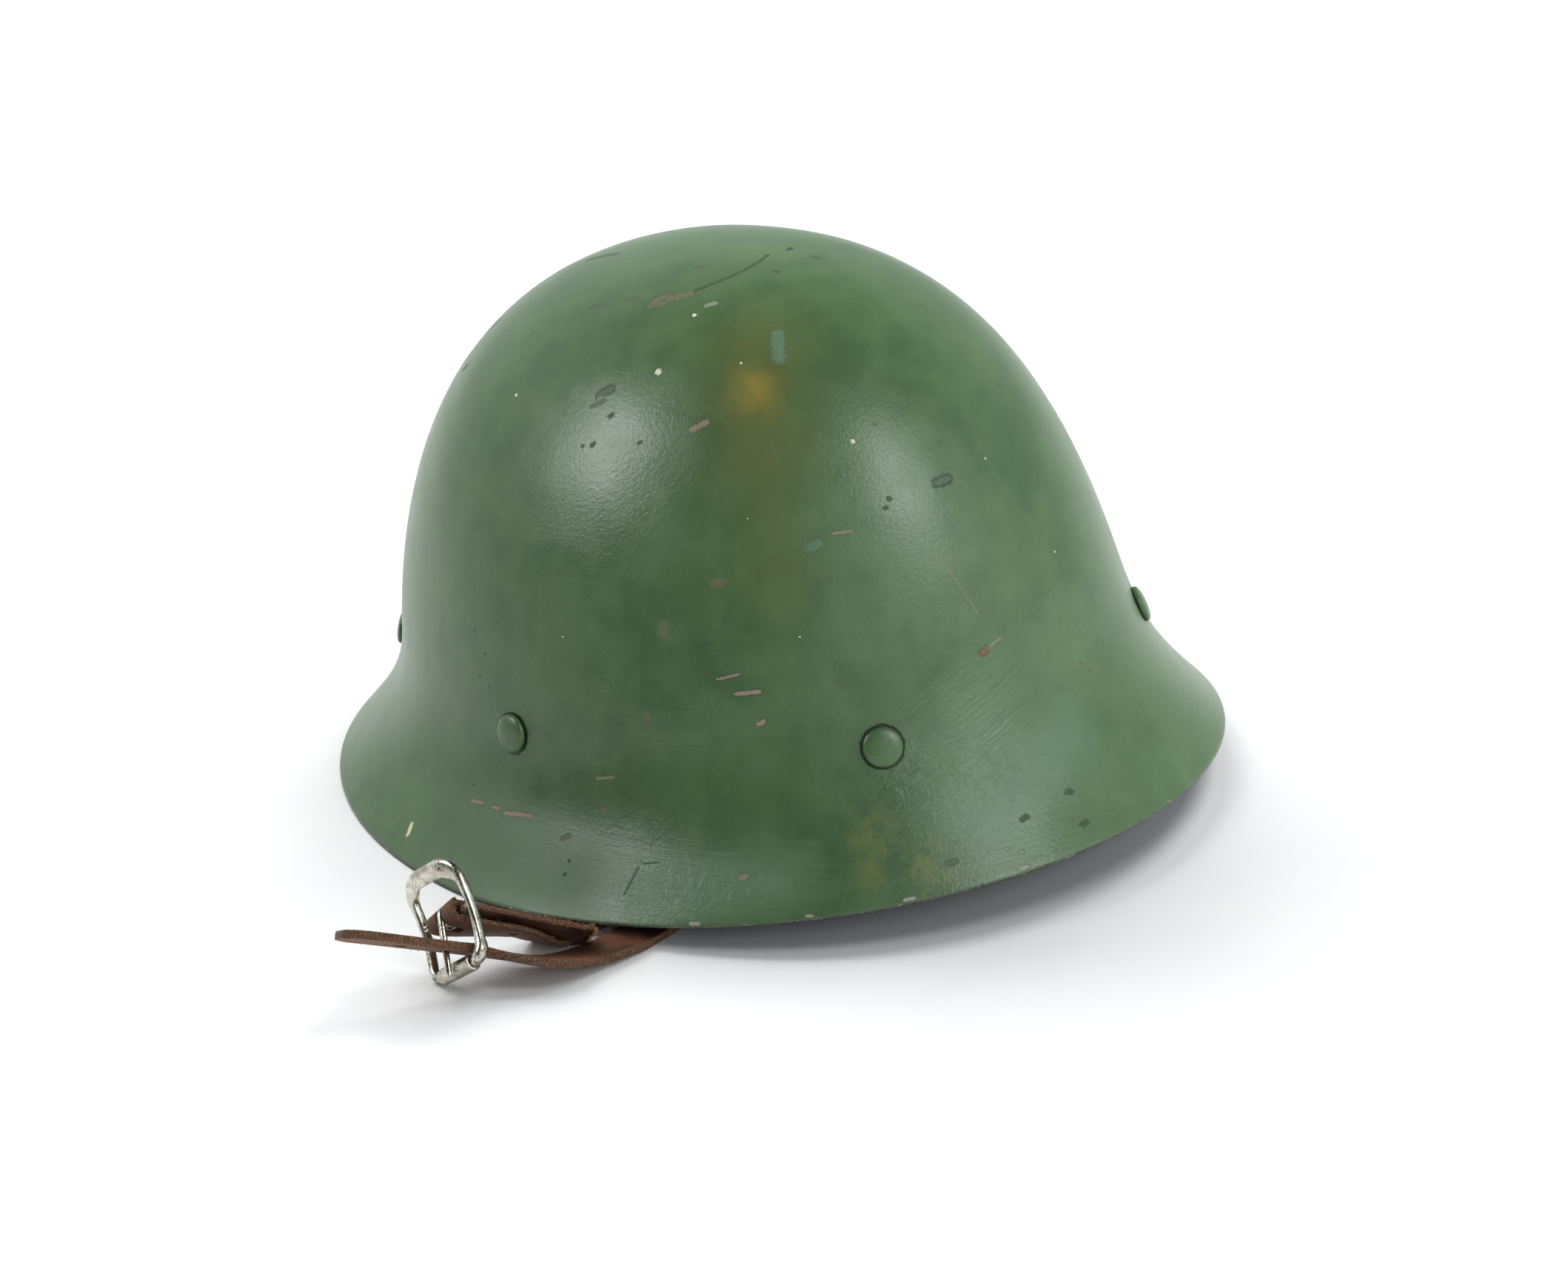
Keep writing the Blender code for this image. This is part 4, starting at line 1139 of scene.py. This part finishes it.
def fibres(name, seed, bases, material):
    """Short bent hairs that stand out of the leather: each a closed thin spike."""
    rng = random.Random(seed)
    verts = []
    faces = []
    for point, away, along, length in bases:
        lean = Vector((rng.uniform(-1, 1), rng.uniform(-1, 1), rng.uniform(-0.4, 1.0))) * 0.55
        heading = (away + along * rng.uniform(-0.9, 0.9) + lean).normalized()
        bend = Vector((rng.uniform(-1, 1), rng.uniform(-1, 1), rng.uniform(-1, 0.4))) * 0.45
        side = heading.orthogonal().normalized()
        other = heading.cross(side)
        thick = rng.uniform(0.05, 0.09) * MM
        first = len(verts)
        for share, width in ((-0.25, 1.0), (0.5, 0.8)):
            middle = point + (heading + bend * share) * (length * share)
            for k in range(3):
                turn = 2 * math.pi * k / 3
                verts.append(middle + (side * math.cos(turn) + other * math.sin(turn)) * thick * width)
        verts.append(point + (heading + bend) * length)
        faces.append((first + 2, first + 1, first))
        for k in range(3):
            m = (k + 1) % 3
            faces.append((first + k, first + m, first + 3 + m, first + 3 + k))
            faces.append((first + 3 + k, first + 3 + m, first + 6))
    verts = [Vector((v.x, v.y, max(v.z, 0.0001))) for v in verts]
    hairs = mesh_object(name, verts, faces, smooth=False)
    hairs.data.transform(SHIFT)
    hairs.data.materials.append(material)
    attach(hairs, "root")


def edge_bases(rng, points, halves, thickness, normals, runs, first, last, count, longest):
    bases = []
    for _ in range(count):
        i = rng.randint(first, last)
        side = runs[i].cross(normals[i]) * rng.choice((-1, 1))
        up = rng.uniform(-1.0, 1.0)
        point = points[i] + side * halves[i] + normals[i] * (thickness / 2 * up)
        away = (side + normals[i] * up * 0.8).normalized()
        bases.append((point, away, runs[i], rng.uniform(0.3, longest) * MM))
    return bases


def build_strap_tip(leather, hair, seat):
    """From the left rivet under the rim, through the buckle and out to its free end."""
    held, face = anchor(SIDE_RIVET_ANGLE, TIP_THICKNESS)
    route = [place(stop, TIP_THICKNESS) for stop in TIP_ROUTE]
    prong = prong_path()
    turn_end = prong[PRONG_TURN_STEPS]
    lower = roller_radius()
    upper = bar_level() - BAR_RADIUS - SEAT_GAP - LOOP_THICKNESS
    share = (turn_end.y - (lower + upper) / 2) / (turn_end.y - prong[-1].y)
    through = seat @ turn_end.lerp(prong[-1], share)
    free = seat.to_3x3() @ TIP_LEAVES.normalized()
    window = [through - free * TIP_LEAD, through, through + free * (TIP_FREE_LENGTH / 2),
              through + free * TIP_FREE_LENGTH]
    points, marks = smooth_curve(held + route + window, RIBBON_STEP)
    on_floor(points, TIP_THICKNESS)
    up = Vector((0.0, 0.0, 1.0))
    square = (seat.to_3x3() @ Vector((1.0, 0.0, 0.0))).cross(free).normalized()
    if square.z < 0:
        square = -square
    tilted = (square * TIP_TURN + carry(up, free) * (1.0 - TIP_TURN)).normalized()
    keys = {0: face, marks[len(held) - 1]: face, len(points) - 1: tilted,
            marks[len(held) + len(route)]: tilted}
    for stop in TIP_FLAT:
        keys[marks[len(held) + stop]] = up
    halves = rounded_tip(points)
    strap, normals, runs, _ = leather_ribbon(
        "leather_strap_tip", points, keys, TIP_THICKNESS, halves, STRAP_CORNER, False)
    shaft = seat.to_3x3() @ (prong[-1] - turn_end).normalized()
    cut_or_join(strap, [rivet_hole(SIDE_RIVET_ANGLE), punch(aim(through, shaft), HOLE_RADIUS),
                        punch(aim(through + free * HOLE_PITCH, tilted), HOLE_RADIUS)], "DIFFERENCE")
    finish_strap(strap, "strap_tip", leather)
    rng = random.Random(11)
    last = len(points) - 1
    bases = edge_bases(rng, points, halves, TIP_THICKNESS, normals, runs, last - 90, last, 420, 0.8)
    bases += edge_bases(rng, points, halves, TIP_THICKNESS, normals, runs, last - 24, last, 160, 1.0)
    fibres("strap_tip_fibres", 21, bases, hair)


def build_strap_buckle(leather, hair, seat):
    """From the right rivet out under the rim, over the centre bar and back on itself."""
    held, face = anchor(-SIDE_RIVET_ANGLE, LOOP_THICKNESS)
    route = [place(stop, LOOP_THICKNESS) for stop in LOOP_ROUTE]
    radius = BAR_RADIUS + SEAT_GAP + LOOP_THICKNESS / 2
    hub = hub_place()
    around = []
    for k in range(LOOP_STEPS + 1):
        turn = math.pi * (k / LOOP_STEPS - 0.5)
        around.append(seat @ (hub + Vector((0.0, math.sin(turn), math.cos(turn))) * radius))
    tail = place(LOOP_TAIL, LOOP_THICKNESS)
    stops = held + route + around + [(around[-1] + tail) / 2, tail]
    points, marks = smooth_curve(stops, RIBBON_STEP * 0.8)
    on_floor(points, LOOP_THICKNESS)
    up = Vector((0.0, 0.0, 1.0))
    bar = seat.to_3x3() @ Vector((1.0, 0.0, 0.0))
    start = marks[len(held) + len(route)]
    end = marks[len(held) + len(route) + LOOP_STEPS]
    runs = tangents(points)
    enter = runs[start].cross(bar)
    leave = runs[end].cross(bar)
    if enter.z < 0:
        enter, leave = -enter, -leave
    keys = {0: face, marks[len(held) - 1]: face, start: enter, end: leave, len(points) - 1: leave}
    for stop in LOOP_FLAT:
        keys[marks[len(held) + stop]] = up
    halves = [STRAP_WIDTH / 2] * len(points)
    strap, normals, runs, run = leather_ribbon(
        "leather_strap_buckle", points, keys, LOOP_THICKNESS, halves, LOOP_CORNER, True)
    sizes = Vector((PRONG_RADIUS + SLOT_PLAY, (SLOT_SEEN + radius) / 2, SLOT_SEEN))
    corners = [Vector((sizes.x * x, sizes.y * y, sizes.z * z))
               for z in (-1, 1) for y in (-1, 1) for x in (-1, 1)]
    sides = [(0, 1, 3, 2), (4, 6, 7, 5), (0, 4, 5, 1), (2, 3, 7, 6), (0, 2, 6, 4), (1, 5, 7, 3)]
    slot = body("slot", corners, sides, seat @ Matrix.Translation(hub))
    hole = min(range(start), key=lambda i: abs(run[start] - run[i] - LOOP_HOLE_BACK))
    cut_or_join(strap, [rivet_hole(-SIDE_RIVET_ANGLE), slot,
                        punch(aim(points[hole], normals[hole]), LOOP_HOLE_RADIUS, LOOP_THICKNESS)],
                "DIFFERENCE")
    finish_strap(strap, "strap_buckle", leather)
    rng = random.Random(12)
    last = len(points) - 1
    bases = edge_bases(rng, points, halves, LOOP_THICKNESS, normals, runs, start - 40, last, 420, 0.8)
    bases += edge_bases(rng, points, halves, LOOP_THICKNESS, normals, runs, last - 12, last, 200, 1.2)
    for _ in range(260):
        side = runs[last].cross(normals[last])
        spot = points[last] + side * rng.uniform(-1, 1) * halves[last] * 0.96
        spot += normals[last] * rng.uniform(-0.5, 0.5) * LOOP_THICKNESS + runs[last] * 0.2 * MM
        bases.append((spot, runs[last], side, rng.uniform(0.5, 1.7) * MM))
    fibres("strap_buckle_fibres", 22, bases, hair)


# Buckle

def roller_radius():
    return ROD_RADIUS + SEAT_GAP + ROLLER_WALL


def roller_length():
    return FRAME_WIDTH - 2 * (FRAME_CORNER + SEAT_GAP)


def bar_level():
    return FRAME_HEIGHT * BAR_SHARE


def frame_bow(level):
    """How far the frame bends towards the helmet at a height above its bottom bar."""
    return -FRAME_BOW * math.sin(math.pi * min(1.0, max(0.0, level / FRAME_HEIGHT)))


def hub_place():
    return Vector((0.0, bar_level(), frame_bow(bar_level())))


def frame_outline(corner_steps, side_steps, top_corner):
    """The frame's middle line in its own plane."""
    half = FRAME_WIDTH / 2
    corners = ((half, 0.0, FRAME_CORNER), (half, FRAME_HEIGHT, top_corner),
               (-half, FRAME_HEIGHT, top_corner), (-half, 0.0, FRAME_CORNER))
    arcs = []
    for i, (x, y, radius) in enumerate(corners):
        middle = Vector((x - math.copysign(radius, x), y + (radius if y == 0.0 else -radius), 0.0))
        turns = [math.pi / 2 * (i - 1 + k / corner_steps) for k in range(corner_steps + 1)]
        arcs.append([middle + Vector((math.cos(turn), math.sin(turn), 0.0)) * radius for turn in turns])
    flat = []
    for arc, ahead in zip(arcs, arcs[1:] + arcs[:1]):
        flat += arc
        flat += [arc[-1].lerp(ahead[0], k / side_steps) for k in range(1, side_steps)]
    return flat


def soft_step(value, low, high):
    share = min(1.0, max(0.0, (value - low) / (high - low)))
    return share * share * (3.0 - 2.0 * share)


def buckle_matrix():
    heading = math.radians(BUCKLE_HEADING)
    rise = math.radians(BUCKLE_BAR_RISE)
    across = Vector((math.cos(heading) * math.cos(rise), math.sin(heading) * math.cos(rise), math.sin(rise)))
    upright = carry(Vector((0.0, 0.0, 1.0)), across)
    upright = Matrix.Rotation(math.radians(BUCKLE_LEAN), 3, across) @ upright
    turn = Matrix((across, upright, across.cross(upright))).transposed()
    corner = place(Stop(BUCKLE_ANGLE, BUCKLE_REACH, 0.0), 0.0)
    middle = corner + across * (FRAME_WIDTH / 2)
    lowest = min((turn @ point).z - ROD_RADIUS for point in frame_outline(4, 1, FRAME_CORNER))
    roller_end = (turn @ Vector((-roller_length() / 2, 0.0, 0.0))).z
    lowest = min(lowest, roller_end - roller_radius() * math.cos(rise))
    middle.z = SEAT_GAP - lowest
    return Matrix.Translation(middle) @ turn.to_4x4()


def swept(path, sections, closed):
    """A tube through rings of (point, outline offsets); returns verts and faces."""
    size = len(sections[0])
    verts = [spot + offset for spot, ring in zip(path, sections) for offset in ring]
    faces = []
    count = len(path)
    for r in range(count if closed else count - 1):
        a, b = r * size, ((r + 1) % count) * size
        for k in range(size):
            m = (k + 1) % size
            faces.append((a + k, a + m, b + m, b + k))
    if not closed:
        faces.append(tuple(range(size)))
        faces.append(tuple(range((count - 1) * size, count * size)))
    return verts, faces


def finish_steel(piece, node, steel, sharp=40):
    finish_mesh(piece, steel, sharp)
    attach(piece, "root")
    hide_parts(node)


def build_frame(steel, seat):
    flat = frame_outline(16, 16, TOP_CORNER)
    count = len(flat)
    path = []
    sections = []
    knob = Vector((FRAME_WIDTH / 2 - 0.6 * MM, 1.6 * MM, 0.0))
    for i, point in enumerate(flat):
        run = (flat[(i + 1) % count] - flat[i - 1]).normalized()
        out = run.cross(Vector((0.0, 0.0, 1.0)))
        top = soft_step(point.y, FRAME_HEIGHT - 2.2 * FRAME_CORNER, FRAME_HEIGHT - 0.3 * FRAME_CORNER)
        waist = math.exp(-((point.y - 0.5 * FRAME_HEIGHT) / (0.22 * FRAME_HEIGHT)) ** 2)
        half = SIDE_HALF + (TOP_WIDTH - SIDE_HALF) * top - 0.25 * MM * waist
        deep = ROD_RADIUS * (1.0 - 0.28 * top)
        swell = 1.0 + KNOB_SWELL * math.exp(-((point - knob).length / (2.3 * MM)) ** 2)
        ring = []
        for k in range(24):
            turn = 2 * math.pi * k / 24
            cosine, sine = math.cos(turn), math.sin(turn)
            shape = (abs(cosine) ** 2.6 + abs(sine) ** 2.6) ** (-1 / 2.6)
            reach = shape * swell * (1.0 + 0.015 * noise.noise(point * 420 + Vector((cosine, sine, 0))))
            ring.append(out * (half * reach * cosine) + Vector((0.0, 0.0, deep * reach * sine)))
        inward = out * (-0.55 * top * (TOP_WIDTH - SIDE_HALF))
        path.append(point + inward + Vector((0.0, 0.0, frame_bow(point.y))))
        sections.append(ring)
    verts, faces = swept(path, sections, True)
    frame_piece = body("steel_buckle_frame", verts, faces, seat)
    half = FRAME_WIDTH / 2
    profile = ((0.0, half), (BAR_RADIUS, half), (BAR_RADIUS, -half), (0.0, -half))
    verts, faces = lathe(profile, 32)
    at = seat @ Matrix.Translation(hub_place()) @ Matrix.Rotation(math.pi / 2, 4, "Y")
    cut_or_join(frame_piece, [body("centre_bar", verts, faces, at)], "UNION")
    finish_steel(frame_piece, "buckle_frame", steel)


def build_roller(steel, seat):
    half = roller_length() / 2
    outer, inner = roller_radius(), ROD_RADIUS + SEAT_GAP
    soft = 0.3 * MM
    profile = [(outer - soft, half), (outer - 0.09 * MM, half - 0.09 * MM), (outer, half - soft)]
    rows = 14
    profile += [(outer, (half - soft) * (1 - 2 * k / rows)) for k in range(1, rows)]
    profile += [(outer, soft - half), (outer - 0.09 * MM, 0.09 * MM - half), (outer - soft, -half),
                (inner, -half), (inner, half)]
    path = []
    sections = []
    sides = 72
    for i in range(sides):
        turn = 2 * math.pi * i / sides
        seam = math.exp(-(((i - 6) / 1.1) ** 2)) * 0.16 * MM
        ring = []
        for radius, x in profile:
            groove = seam if radius > inner else 0.0
            dent = 0.05 * MM * noise.noise(Vector((x * 500, math.cos(turn) * 2, math.sin(turn) * 2)))
            reach = radius - groove + (dent if radius > inner else 0.0)
            ring.append(Vector((x, reach * math.cos(turn), reach * math.sin(turn))))
        path.append(Vector())
        sections.append(ring)
    verts, faces = swept(path, sections, True)
    finish_steel(body("steel_buckle_roller", verts, faces, seat), "buckle_roller", steel)


def prong_path(turn_steps=PRONG_TURN_STEPS, shaft_steps=PRONG_SHAFT_STEPS):
    """The wire's middle line in the buckle's YZ plane: round the centre bar, then down past the roller."""
    turn_radius = BAR_RADIUS + SEAT_GAP + PRONG_RADIUS
    hub = hub_place()
    rest = Vector((0.0, 0.0, roller_radius() + SEAT_GAP + PRONG_RADIUS))
    reach = (hub - rest).length
    tilt = math.atan2(rest.z - hub.z, hub.y - rest.y)
    leave = math.pi / 2 + tilt - math.asin(min(1.0, turn_radius / reach))
    points = []
    for k in range(turn_steps + 1):
        turn = leave + math.radians(PRONG_TURN) * (1 - k / turn_steps)
        points.append(hub + Vector((0.0, -math.cos(turn), math.sin(turn))) * turn_radius)
    away = (rest - points[-1]).normalized()
    length = (rest - points[-1]).length + PRONG_OVERHANG
    start = points[-1]
    points += [start + away * (length * (k + 1) / shaft_steps) for k in range(shaft_steps)]
    return points


def build_prong(steel, seat):
    path = prong_path(72, 40)
    runs = tangents(path)
    sections = []
    last = len(path) - 1
    across = Vector((1.0, 0.0, 0.0))
    for i, (point, run) in enumerate(zip(path, runs)):
        up = run.cross(across)
        ends = min(i + 0.35, last - i + 0.35, 3.0) / 3.0
        radius = PRONG_RADIUS * math.sqrt(ends) * (1.0 - 0.20 * soft_step(i, 72, last))
        wide = radius * (1.08 + 0.05 * noise.noise(point * 700))
        sections.append([across * (wide * math.cos(2 * math.pi * k / 20))
                         + up * (radius * math.sin(2 * math.pi * k / 20)) for k in range(20)])
    verts, faces = swept(path, sections, False)
    finish_steel(body("steel_buckle_prong", verts, faces, seat), "buckle_prong", steel, 60)


# Leather and buckle steel

def leather_material():
    tree = Tree("brown_leather_worn")
    at = tree.attribute("strap_at", "Vector")
    where = tree.millimetres()
    cut = tree.attribute("cut_edge")
    flesh = tree.attribute("flesh")
    cloud = tree.noise(where, 0.11, 4.0, 0.6)
    grain = tree.add("ShaderNodeTexVoronoi", Vector=where, Scale=1.5)
    fine = tree.noise(where, 2.2, 4.0, 0.65)
    streaks = tree.noise(tree.add("ShaderNodeMapping", Vector=at, Scale=(0.12, 1.6, 1.0)), 1.0, 4.0, 0.6)
    creases = tree.noise(tree.add("ShaderNodeMapping", Vector=at, Scale=(1.1, 0.14, 1.0)), 1.0, 4.0, 0.6)
    colour = tree.mix(tree.ramp(cloud, 0.32, 0.66), LEATHER_DARK, LEATHER)
    colour = tree.mix(tree.ramp(streaks, 0.45, 0.75, 0.0, 0.45), colour, LEATHER_RED)
    colour = tree.mix(tree.ramp(fine, 0.55, 0.78, 0.0, 0.35), colour, LEATHER_DARK)
    back = tree.mix(tree.ramp(fine, 0.35, 0.70), shade("7a5238"), shade("9a7152"))
    colour = tree.mix(tree.times(flesh, 0.55), colour, back)
    raw = tree.mix(tree.ramp(tree.noise(where, 1.5, 5.0, 0.7), 0.40, 0.66), shade("3f2a1d"), shade("8a6040"))
    colour = tree.mix(tree.times(cut, 0.75), colour, raw)
    rub = tree.times(cut, tree.ramp(tree.noise(where, 2.6, 3.0, 0.7), 0.60, 0.72))
    colour = tree.mix(tree.times(rub, 0.8), colour, shade("c08a55"))
    pores = tree.ramp(grain, 0.0, 0.5)
    height = tree.plus(tree.times(pores, 0.35), tree.times(fine, 0.35))
    height = tree.plus(height, tree.times(creases, 0.9))
    rough = tree.times(tree.plus(cut, flesh), tree.times(fine, 1.8))
    height = tree.plus(height, rough)
    roughness = tree.math("ADD", tree.times(cut, 0.30),
                          tree.plus(tree.times(cloud, 0.25), 0.34), clamp=True)
    roughness = tree.math("ADD", roughness, tree.times(flesh, 0.28), clamp=True)
    return tree.finish(Base_Color=colour, Roughness=roughness, Normal=tree.bump(height, 0.15 * MM),
                       Specular_IOR_Level=0.45)


def fibre_material():
    tree = Tree("leather_fibres")
    where = tree.millimetres()
    pick = tree.noise(where, 0.9, 2.0, 0.5)
    colour = tree.mix(tree.ramp(pick, 0.35, 0.65), shade("7c5336"), shade("cf9a62"))
    return tree.finish(Base_Color=colour, Roughness=0.75, Specular_IOR_Level=0.3)


def steel_material():
    tree = Tree("pitted_buckle_steel")
    where = tree.millimetres()
    cloud = tree.noise(where, 0.35, 4.0, 0.6)
    fine = tree.noise(where, 3.0, 4.0, 0.65)
    colour = tree.mix(tree.ramp(cloud, 0.35, 0.68), shade("b3ac9c"), shade("dedad0"))
    colour = tree.mix(tree.ramp(fine, 0.55, 0.80, 0.0, 0.4), colour, shade("8c8474"))
    spots = tree.noise(where, 1.5, 4.0, 0.72)
    thick = tree.noise(where, 0.22, 3.0, 0.6)
    limit = tree.ramp(thick, 0.36, 0.62, 0.70, 0.54)
    pits = tree.ramp(tree.minus(spots, limit), 0.0, 0.035)
    colour = tree.mix(tree.times(pits, 0.92), colour, shade("37302a"))
    metallic = tree.minus(1.0, tree.times(pits, 0.65))
    roughness = tree.plus(tree.times(cloud, 0.25), 0.12)
    roughness = tree.math("ADD", roughness, tree.times(pits, 0.4), clamp=True)
    height = tree.minus(tree.times(fine, 0.25), tree.times(pits, 1.0))
    height = tree.plus(height, tree.times(tree.noise(where, 0.9, 3.0, 0.5), 0.30))
    return tree.finish(Base_Color=colour, Metallic=metallic, Roughness=roughness,
                       Normal=tree.bump(height, 0.12 * MM))


# Floor, light and camera

def camera_basis():
    turn, rise, roll = (math.radians(a) for a in (CAMERA_TURN, CAMERA_RISE, CAMERA_ROLL))
    about = Matrix(((math.cos(turn), -math.sin(turn), 0), (math.sin(turn), math.cos(turn), 0), (0, 0, 1)))
    tilt = Matrix(((1, 0, 0), (0, math.sin(rise), math.cos(rise)), (0, -math.cos(rise), math.sin(rise))))
    spin = Matrix(((math.cos(roll), -math.sin(roll), 0), (math.sin(roll), math.cos(roll), 0), (0, 0, 1)))
    return (spin @ tilt @ about).transposed()


def build_camera():
    basis = camera_basis()
    eye = basis @ Vector((-CAMERA_ASIDE.x, -CAMERA_ASIDE.y, CAMERA_AWAY)) + CAMERA_AIM
    data = bpy.data.cameras.new("camera")
    data.lens = CAMERA_LENS
    data.sensor_width = 36.0
    data.clip_start = 0.05
    camera = bpy.data.objects.new("camera", data)
    bpy.context.scene.collection.objects.link(camera)
    camera.matrix_world = SHIFT @ Matrix.Translation(eye) @ basis.to_4x4()
    bpy.context.scene.camera = camera
    return SHIFT @ eye


def area_light(name, at, target, size, power, colour):
    data = bpy.data.lights.new(name, "AREA")
    data.shape = "RECTANGLE"
    data.size, data.size_y = size
    data.energy = power
    data.color = colour
    light = bpy.data.objects.new(name, data)
    bpy.context.scene.collection.objects.link(light)
    facing = (target - at).normalized()
    light.matrix_world = Matrix.Translation(at) @ facing.to_track_quat("-Z", "Y").to_matrix().to_4x4()
    return light


def mirror_place(eye, angle, row, away):
    """Where a light stands to be reflected to the eye by a place on the shell."""
    point = TO_SHELL @ on_shell(angle, row)
    normal = (TO_SHELL.to_3x3() @ Vector(shell_normals(math.radians(angle), row))).normalized()
    view = (point - eye).normalized()
    bounce = view - normal * (2 * view.dot(normal))
    return point + bounce * away, point


def build_world(toward, right):
    """A dim room whose walls give most of the light, each side its own share."""
    world = bpy.data.worlds.new("studio")
    world.use_nodes = True
    nodes = world.node_tree.nodes
    links = world.node_tree.links
    where = nodes.new("ShaderNodeTexCoord").outputs["Generated"]

    def side(axis, low, high, below, above):
        """Goes softly from one value to the other along an axis."""
        along = nodes.new("ShaderNodeVectorMath")
        along.operation = "DOT_PRODUCT"
        along.inputs[1].default_value = axis
        links.new(where, along.inputs[0])
        step = nodes.new("ShaderNodeMapRange")
        step.interpolation_type = "SMOOTHSTEP"
        links.new(along.outputs["Value"], step.inputs[0])
        for slot, value in enumerate((low, high, below, above), 1):
            if isinstance(value, bpy.types.NodeSocket):
                links.new(value, step.inputs[slot])
            else:
                step.inputs[slot].default_value = value
        return step.outputs[0]

    back = side(right, -0.25, 0.25, ROOM.back_left, ROOM.back_right)
    front = side(right, -0.25, 0.25, ROOM.front_left, ROOM.front_right)
    walls = side(toward, -0.25, 0.25, back, front)
    sky = nodes["Background"]
    sky.inputs["Color"].default_value = (0.93, 0.985, 1.03, 1.0)
    links.new(side((0.0, 0.0, 1.0), 0.55, 0.75, walls, ROOM.top), sky.inputs["Strength"])
    bpy.context.scene.world = world


# The room's strength on each side, the boxes that show as highlights in the paint (the place
# that reflects them, size and power) and the wide lights behind (tilt from straight down and
# turn from the viewer towards the right, in degrees)
ROOM = namedtuple("Room", "back_left back_right front_left front_right top")(0.75, 0.60, 0.0, 1.35, 0.0)
LAMP_AWAY = 1.1
LAMPS = (
    ("left_box", -73.5, 0.549, (0.36, 0.46), 8.2),
    ("right_box", -19.1, 0.703, (0.30, 0.60), 6.8),
)
CEILING = (
    ("behind_left", 52.0, 38.0, 32.0, 1.57),
    ("behind", 38.0, 8.0, 30.0, 1.05),
    ("behind_right", 38.0, -50.0, 26.0, 1.20),
    ("above", 22.0, 240.0, 26.0, 0.60),
)


def build_stage(eye):
    floor_tree = Tree("floor_white")
    where = floor_tree.millimetres()
    grain = floor_tree.noise(where, 0.02, 3.0, 0.5)
    colour = floor_tree.mix(floor_tree.ramp(grain, 0.3, 0.7), (0.90, 0.905, 0.91), (0.93, 0.93, 0.93))
    floor_tree.finish(Base_Color=colour, Roughness=0.9, Specular_IOR_Level=0.15)
    size = 6.0
    floor = mesh_object("floor", [(-size, -size, 0), (size, -size, 0), (size, size, 0), (-size, size, 0)],
                        [(0, 1, 2, 3)], smooth=False)
    floor.data.materials.append(floor_tree.made)
    toward = Vector((eye.x, eye.y, 0.0)).normalized()
    right = Vector((-toward.y, toward.x, 0.0))
    build_world(toward, right)
    for name, angle, row, size, power in LAMPS:
        at, point = mirror_place(eye, angle, row, LAMP_AWAY)
        lamp = area_light(name, at, point, size, power, (0.96, 1.0, 1.0))
        lamp.visible_diffuse = False
    for name, tilt, turn, spread, power in CEILING:
        data = bpy.data.lights.new(name, "SUN")
        data.energy = power
        data.angle = math.radians(spread)
        light = bpy.data.objects.new(name, data)
        bpy.context.scene.collection.objects.link(light)
        light.visible_glossy = False
        tilt, turn = math.radians(tilt), math.radians(turn)
        flow = toward * math.cos(turn) + right * math.sin(turn)
        down = flow * math.sin(tilt) - Vector((0.0, 0.0, math.cos(tilt)))
        light.matrix_world = down.to_track_quat("-Z", "Y").to_matrix().to_4x4()
    bpy.context.scene.view_settings.view_transform = "Standard"


def main():
    eye = build_camera()
    build_shell(paint_material("green_paint_worn_and_shaded", True))
    build_rivets(paint_material("green_paint_plain", False))
    seat = buckle_matrix()
    leather = leather_material()
    hair = fibre_material()
    steel = steel_material()
    build_frame(steel, seat)
    build_roller(steel, seat)
    build_prong(steel, seat)
    build_strap_tip(leather, hair, seat)
    build_strap_buckle(leather, hair, seat)
    build_stage(eye)


main()
